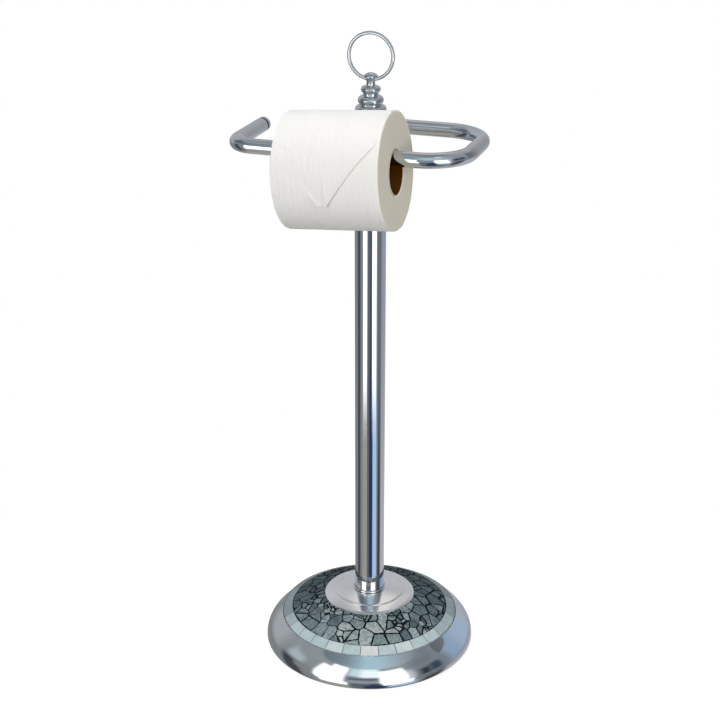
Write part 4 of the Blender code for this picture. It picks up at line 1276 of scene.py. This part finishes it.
def studio_world(context):
    """World: white to the camera, the studio's flats to polished metal, plain light to the rest."""
    world = bpy.data.worlds.new("studio_world")
    context.scene.world = world
    world.use_nodes = True
    tree = world.node_tree
    tree.nodes.clear()
    direction = node(tree, "ShaderNodeTexCoord")
    parts = node(tree, "ShaderNodeSeparateXYZ", {"Vector": direction.outputs["Generated"]})
    front, azimuth = turn_from_front(tree, parts)
    rise = node(tree, MATHS, {0: parts.outputs["Z"]}, operation="ARCSINE")
    elevation = node(tree, MATHS, {0: rise}, operation="DEGREES")
    share = node(tree, SPREAD, {"Value": elevation, "From Min": -90.0, "From Max": 90.0})
    seen = node(
        tree, RAMP, {"Fac": share},
        [(0.0, "#9C9C96"), (0.25, "#94948E"), (0.4, "#787D7E"), (0.5, "#7C8082"),
         (0.67, "#858A8C"), (0.83, "#8C9294"), (0.95, "#747B7C")],
    )
    for colour, strength, across, up, soft in STUDIO_PANELS:
        round_it = soft_band(tree, azimuth, *across, soft)
        upward = soft_band(tree, elevation, *up, soft)
        mask = node(tree, MATHS, {0: round_it, 1: upward}, operation="MULTIPLY")
        value = [strength * part for part in linear(colour)[:3]] + [1.0]
        seen = node(tree, MIX, {"Factor": mask, "A": seen, "B": value}, data_type="RGBA")
    forward = node(
        tree, SPREAD, {"Value": front, "From Min": -1.0, "To Min": 0.5, "To Max": 1.36}
    )
    flats, plain, white = [
        node(tree, "ShaderNodeBackground", {"Color": colour, "Strength": strength})
        for colour, strength in ((seen, 1 / CHROME_SHARE), (seen, forward), ((1, 1, 1, 1), 1.0))
    ]
    path = node(tree, "ShaderNodeLightPath").outputs
    light = node(tree, "ShaderNodeMixShader", {"Fac": path["Is Glossy Ray"], 1: plain, 2: flats})
    whole = node(tree, "ShaderNodeMixShader", {"Fac": path["Is Camera Ray"], 1: light, 2: white})
    node(tree, "ShaderNodeOutputWorld", {"Surface": whole})


def floor_material():
    """Pale seamless floor: white to the camera except where the holder shades it."""
    material, tree, place = new_material("seamless_floor")
    distance = node(tree, "ShaderNodeVectorMath", {0: place}, operation="LENGTH")
    far = node(
        tree, SPREAD,
        {"Value": distance.outputs["Value"], "From Min": 0.22, "From Max": 0.55},
        interpolation_type="SMOOTHSTEP",
    )
    glow, near_glow = [
        node(tree, "ShaderNodeEmission", {"Color": (1, 1, 1, 1), "Strength": strength})
        for strength in (1.0, 0.72)
    ]
    card = node(tree, "ShaderNodeBsdfDiffuse", {"Color": linear("#BEBEBE")})
    near = node(tree, "ShaderNodeAddShader", {0: near_glow, 1: card})
    seen = node(tree, "ShaderNodeMixShader", {"Fac": far, 1: near, 2: glow})
    camera = node(tree, "ShaderNodeLightPath").outputs["Is Camera Ray"]
    shade = node(tree, "ShaderNodeMixShader", {"Fac": camera, 1: card, 2: seen})
    clear = node(tree, "ShaderNodeBsdfTransparent")
    below = node(tree, "ShaderNodeNewGeometry").outputs["Backfacing"]
    return closed(material, tree, "ShaderNodeMixShader", {"Fac": below, 1: shade, 2: clear})


# Name, place, point it is aimed at, power in watts and colour of each softbox
LAMPS = (
    ("overhead_softbox", (-0.1, 0.45, 2.3), (0, -0.05, 0.4), 18.5, (1.0, 1.0, 1.0)),
    ("front_softbox", (-0.4, -1.6, 1.35), (0, -0.05, 0.4), 10.2, (1.0, 0.985, 0.96)),
    ("right_softbox", (1.9, -0.6, 0.8), (0, -0.05, 0.5), 11.0, (1.0, 0.93, 0.82)),
)
LAMP_SIZE = 0.8


def area_lamp(name, place, aim, power, colour):
    """Square soft lamp at a place, pointed at aim, which the chrome doesn't show."""
    deselect_all()
    bpy.ops.object.light_add(type="AREA", location=place)
    lamp = bpy.context.object
    lamp.name = name
    lamp.rotation_euler = (Vector(aim) - Vector(place)).to_track_quat("-Z", "Y").to_euler()
    lamp.data.size = LAMP_SIZE
    lamp.data.energy = power
    lamp.data.color = colour
    lamp.visible_glossy = False


class HOLDER_OT_studio(bpy.types.Operator):
    """Pale floor, soft light and the camera at the photograph's angle"""

    bl_idname = "holder.studio"
    bl_label = "Studio"

    def execute(self, context):
        deselect_all()
        bpy.ops.mesh.primitive_circle_add(
            vertices=96, radius=FLOOR_RADIUS, fill_type="NGON", location=(0, 0, -HAIR)
        )
        floor = context.object
        floor.name = "studio_floor"
        bpy.ops.object.transform_apply(location=True, rotation=True, scale=True)
        floor.data.materials.append(floor_material())
        floor.visible_glossy = False
        studio_world(context)
        for name, up, across, stops in STUDIO_CARDS:
            studio_card(name, up, across, stops)
        for lamp in LAMPS:
            area_lamp(*lamp)
        bpy.ops.object.camera_add(
            location=(0.4519, -1.3976, 0.9384),
            rotation=(math.radians(90.0 - 22.485), 0.0, math.radians(18.328)),
        )
        camera = context.object
        camera.name = "photo_camera"
        camera.data.sensor_width = 36.0
        camera.data.lens = 76.25
        camera.data.clip_start = 0.01
        context.scene.camera = camera
        context.scene.view_settings.view_transform = "Standard"
        return {"FINISHED"}


OPERATORS = (
    HOLDER_OT_base_shell, HOLDER_OT_centre_plate, HOLDER_OT_mosaic, HOLDER_OT_border_tiles,
    HOLDER_OT_hidden_parts, HOLDER_OT_pole, HOLDER_OT_finial, HOLDER_OT_carry_ring, HOLDER_OT_arm,
    HOLDER_OT_arm_fittings, HOLDER_OT_paper_roll, HOLDER_OT_loose_leaf, HOLDER_OT_studio,
)
SIZE_GROUPS = (
    ("base_sizes", BaseSizes), ("mosaic_sizes", MosaicSizes), ("metal_sizes", MetalSizes),
    ("roll_sizes", RollSizes), ("holder_colours", HolderColours),
)


class HOLDER_PT_panel(bpy.types.Panel):
    """Sizes, colours and pieces of the holder"""

    bl_idname = "HOLDER_PT_panel"
    bl_label = "Toilet Paper Holder"
    bl_space_type = "VIEW_3D"
    bl_region_type = "UI"
    bl_category = "Paper Holder"

    def draw(self, context):
        column = self.layout.column()
        for name, group in SIZE_GROUPS:
            settings = getattr(context.scene, name)
            for key in group.__annotations__:
                column.prop(settings, key)
        for operator in OPERATORS:
            column.operator(operator.bl_idname)


def register():
    """Register the sizes, the operators and the panel."""
    for name, group in SIZE_GROUPS:
        bpy.utils.register_class(group)
        setattr(bpy.types.Scene, name, PointerProperty(type=group))
    for operator in OPERATORS:
        bpy.utils.register_class(operator)
    bpy.utils.register_class(HOLDER_PT_panel)


def unregister():
    """Remove what register added."""
    bpy.utils.unregister_class(HOLDER_PT_panel)
    for operator in reversed(OPERATORS):
        bpy.utils.unregister_class(operator)
    for name, group in reversed(SIZE_GROUPS):
        delattr(bpy.types.Scene, name)
        bpy.utils.unregister_class(group)


def main():
    """Register the add-on and model every piece in order."""
    register()
    for operator in OPERATORS:
        group, name = operator.bl_idname.split(".")
        getattr(getattr(bpy.ops, group), name)()


if __name__ == "__main__":
    main()
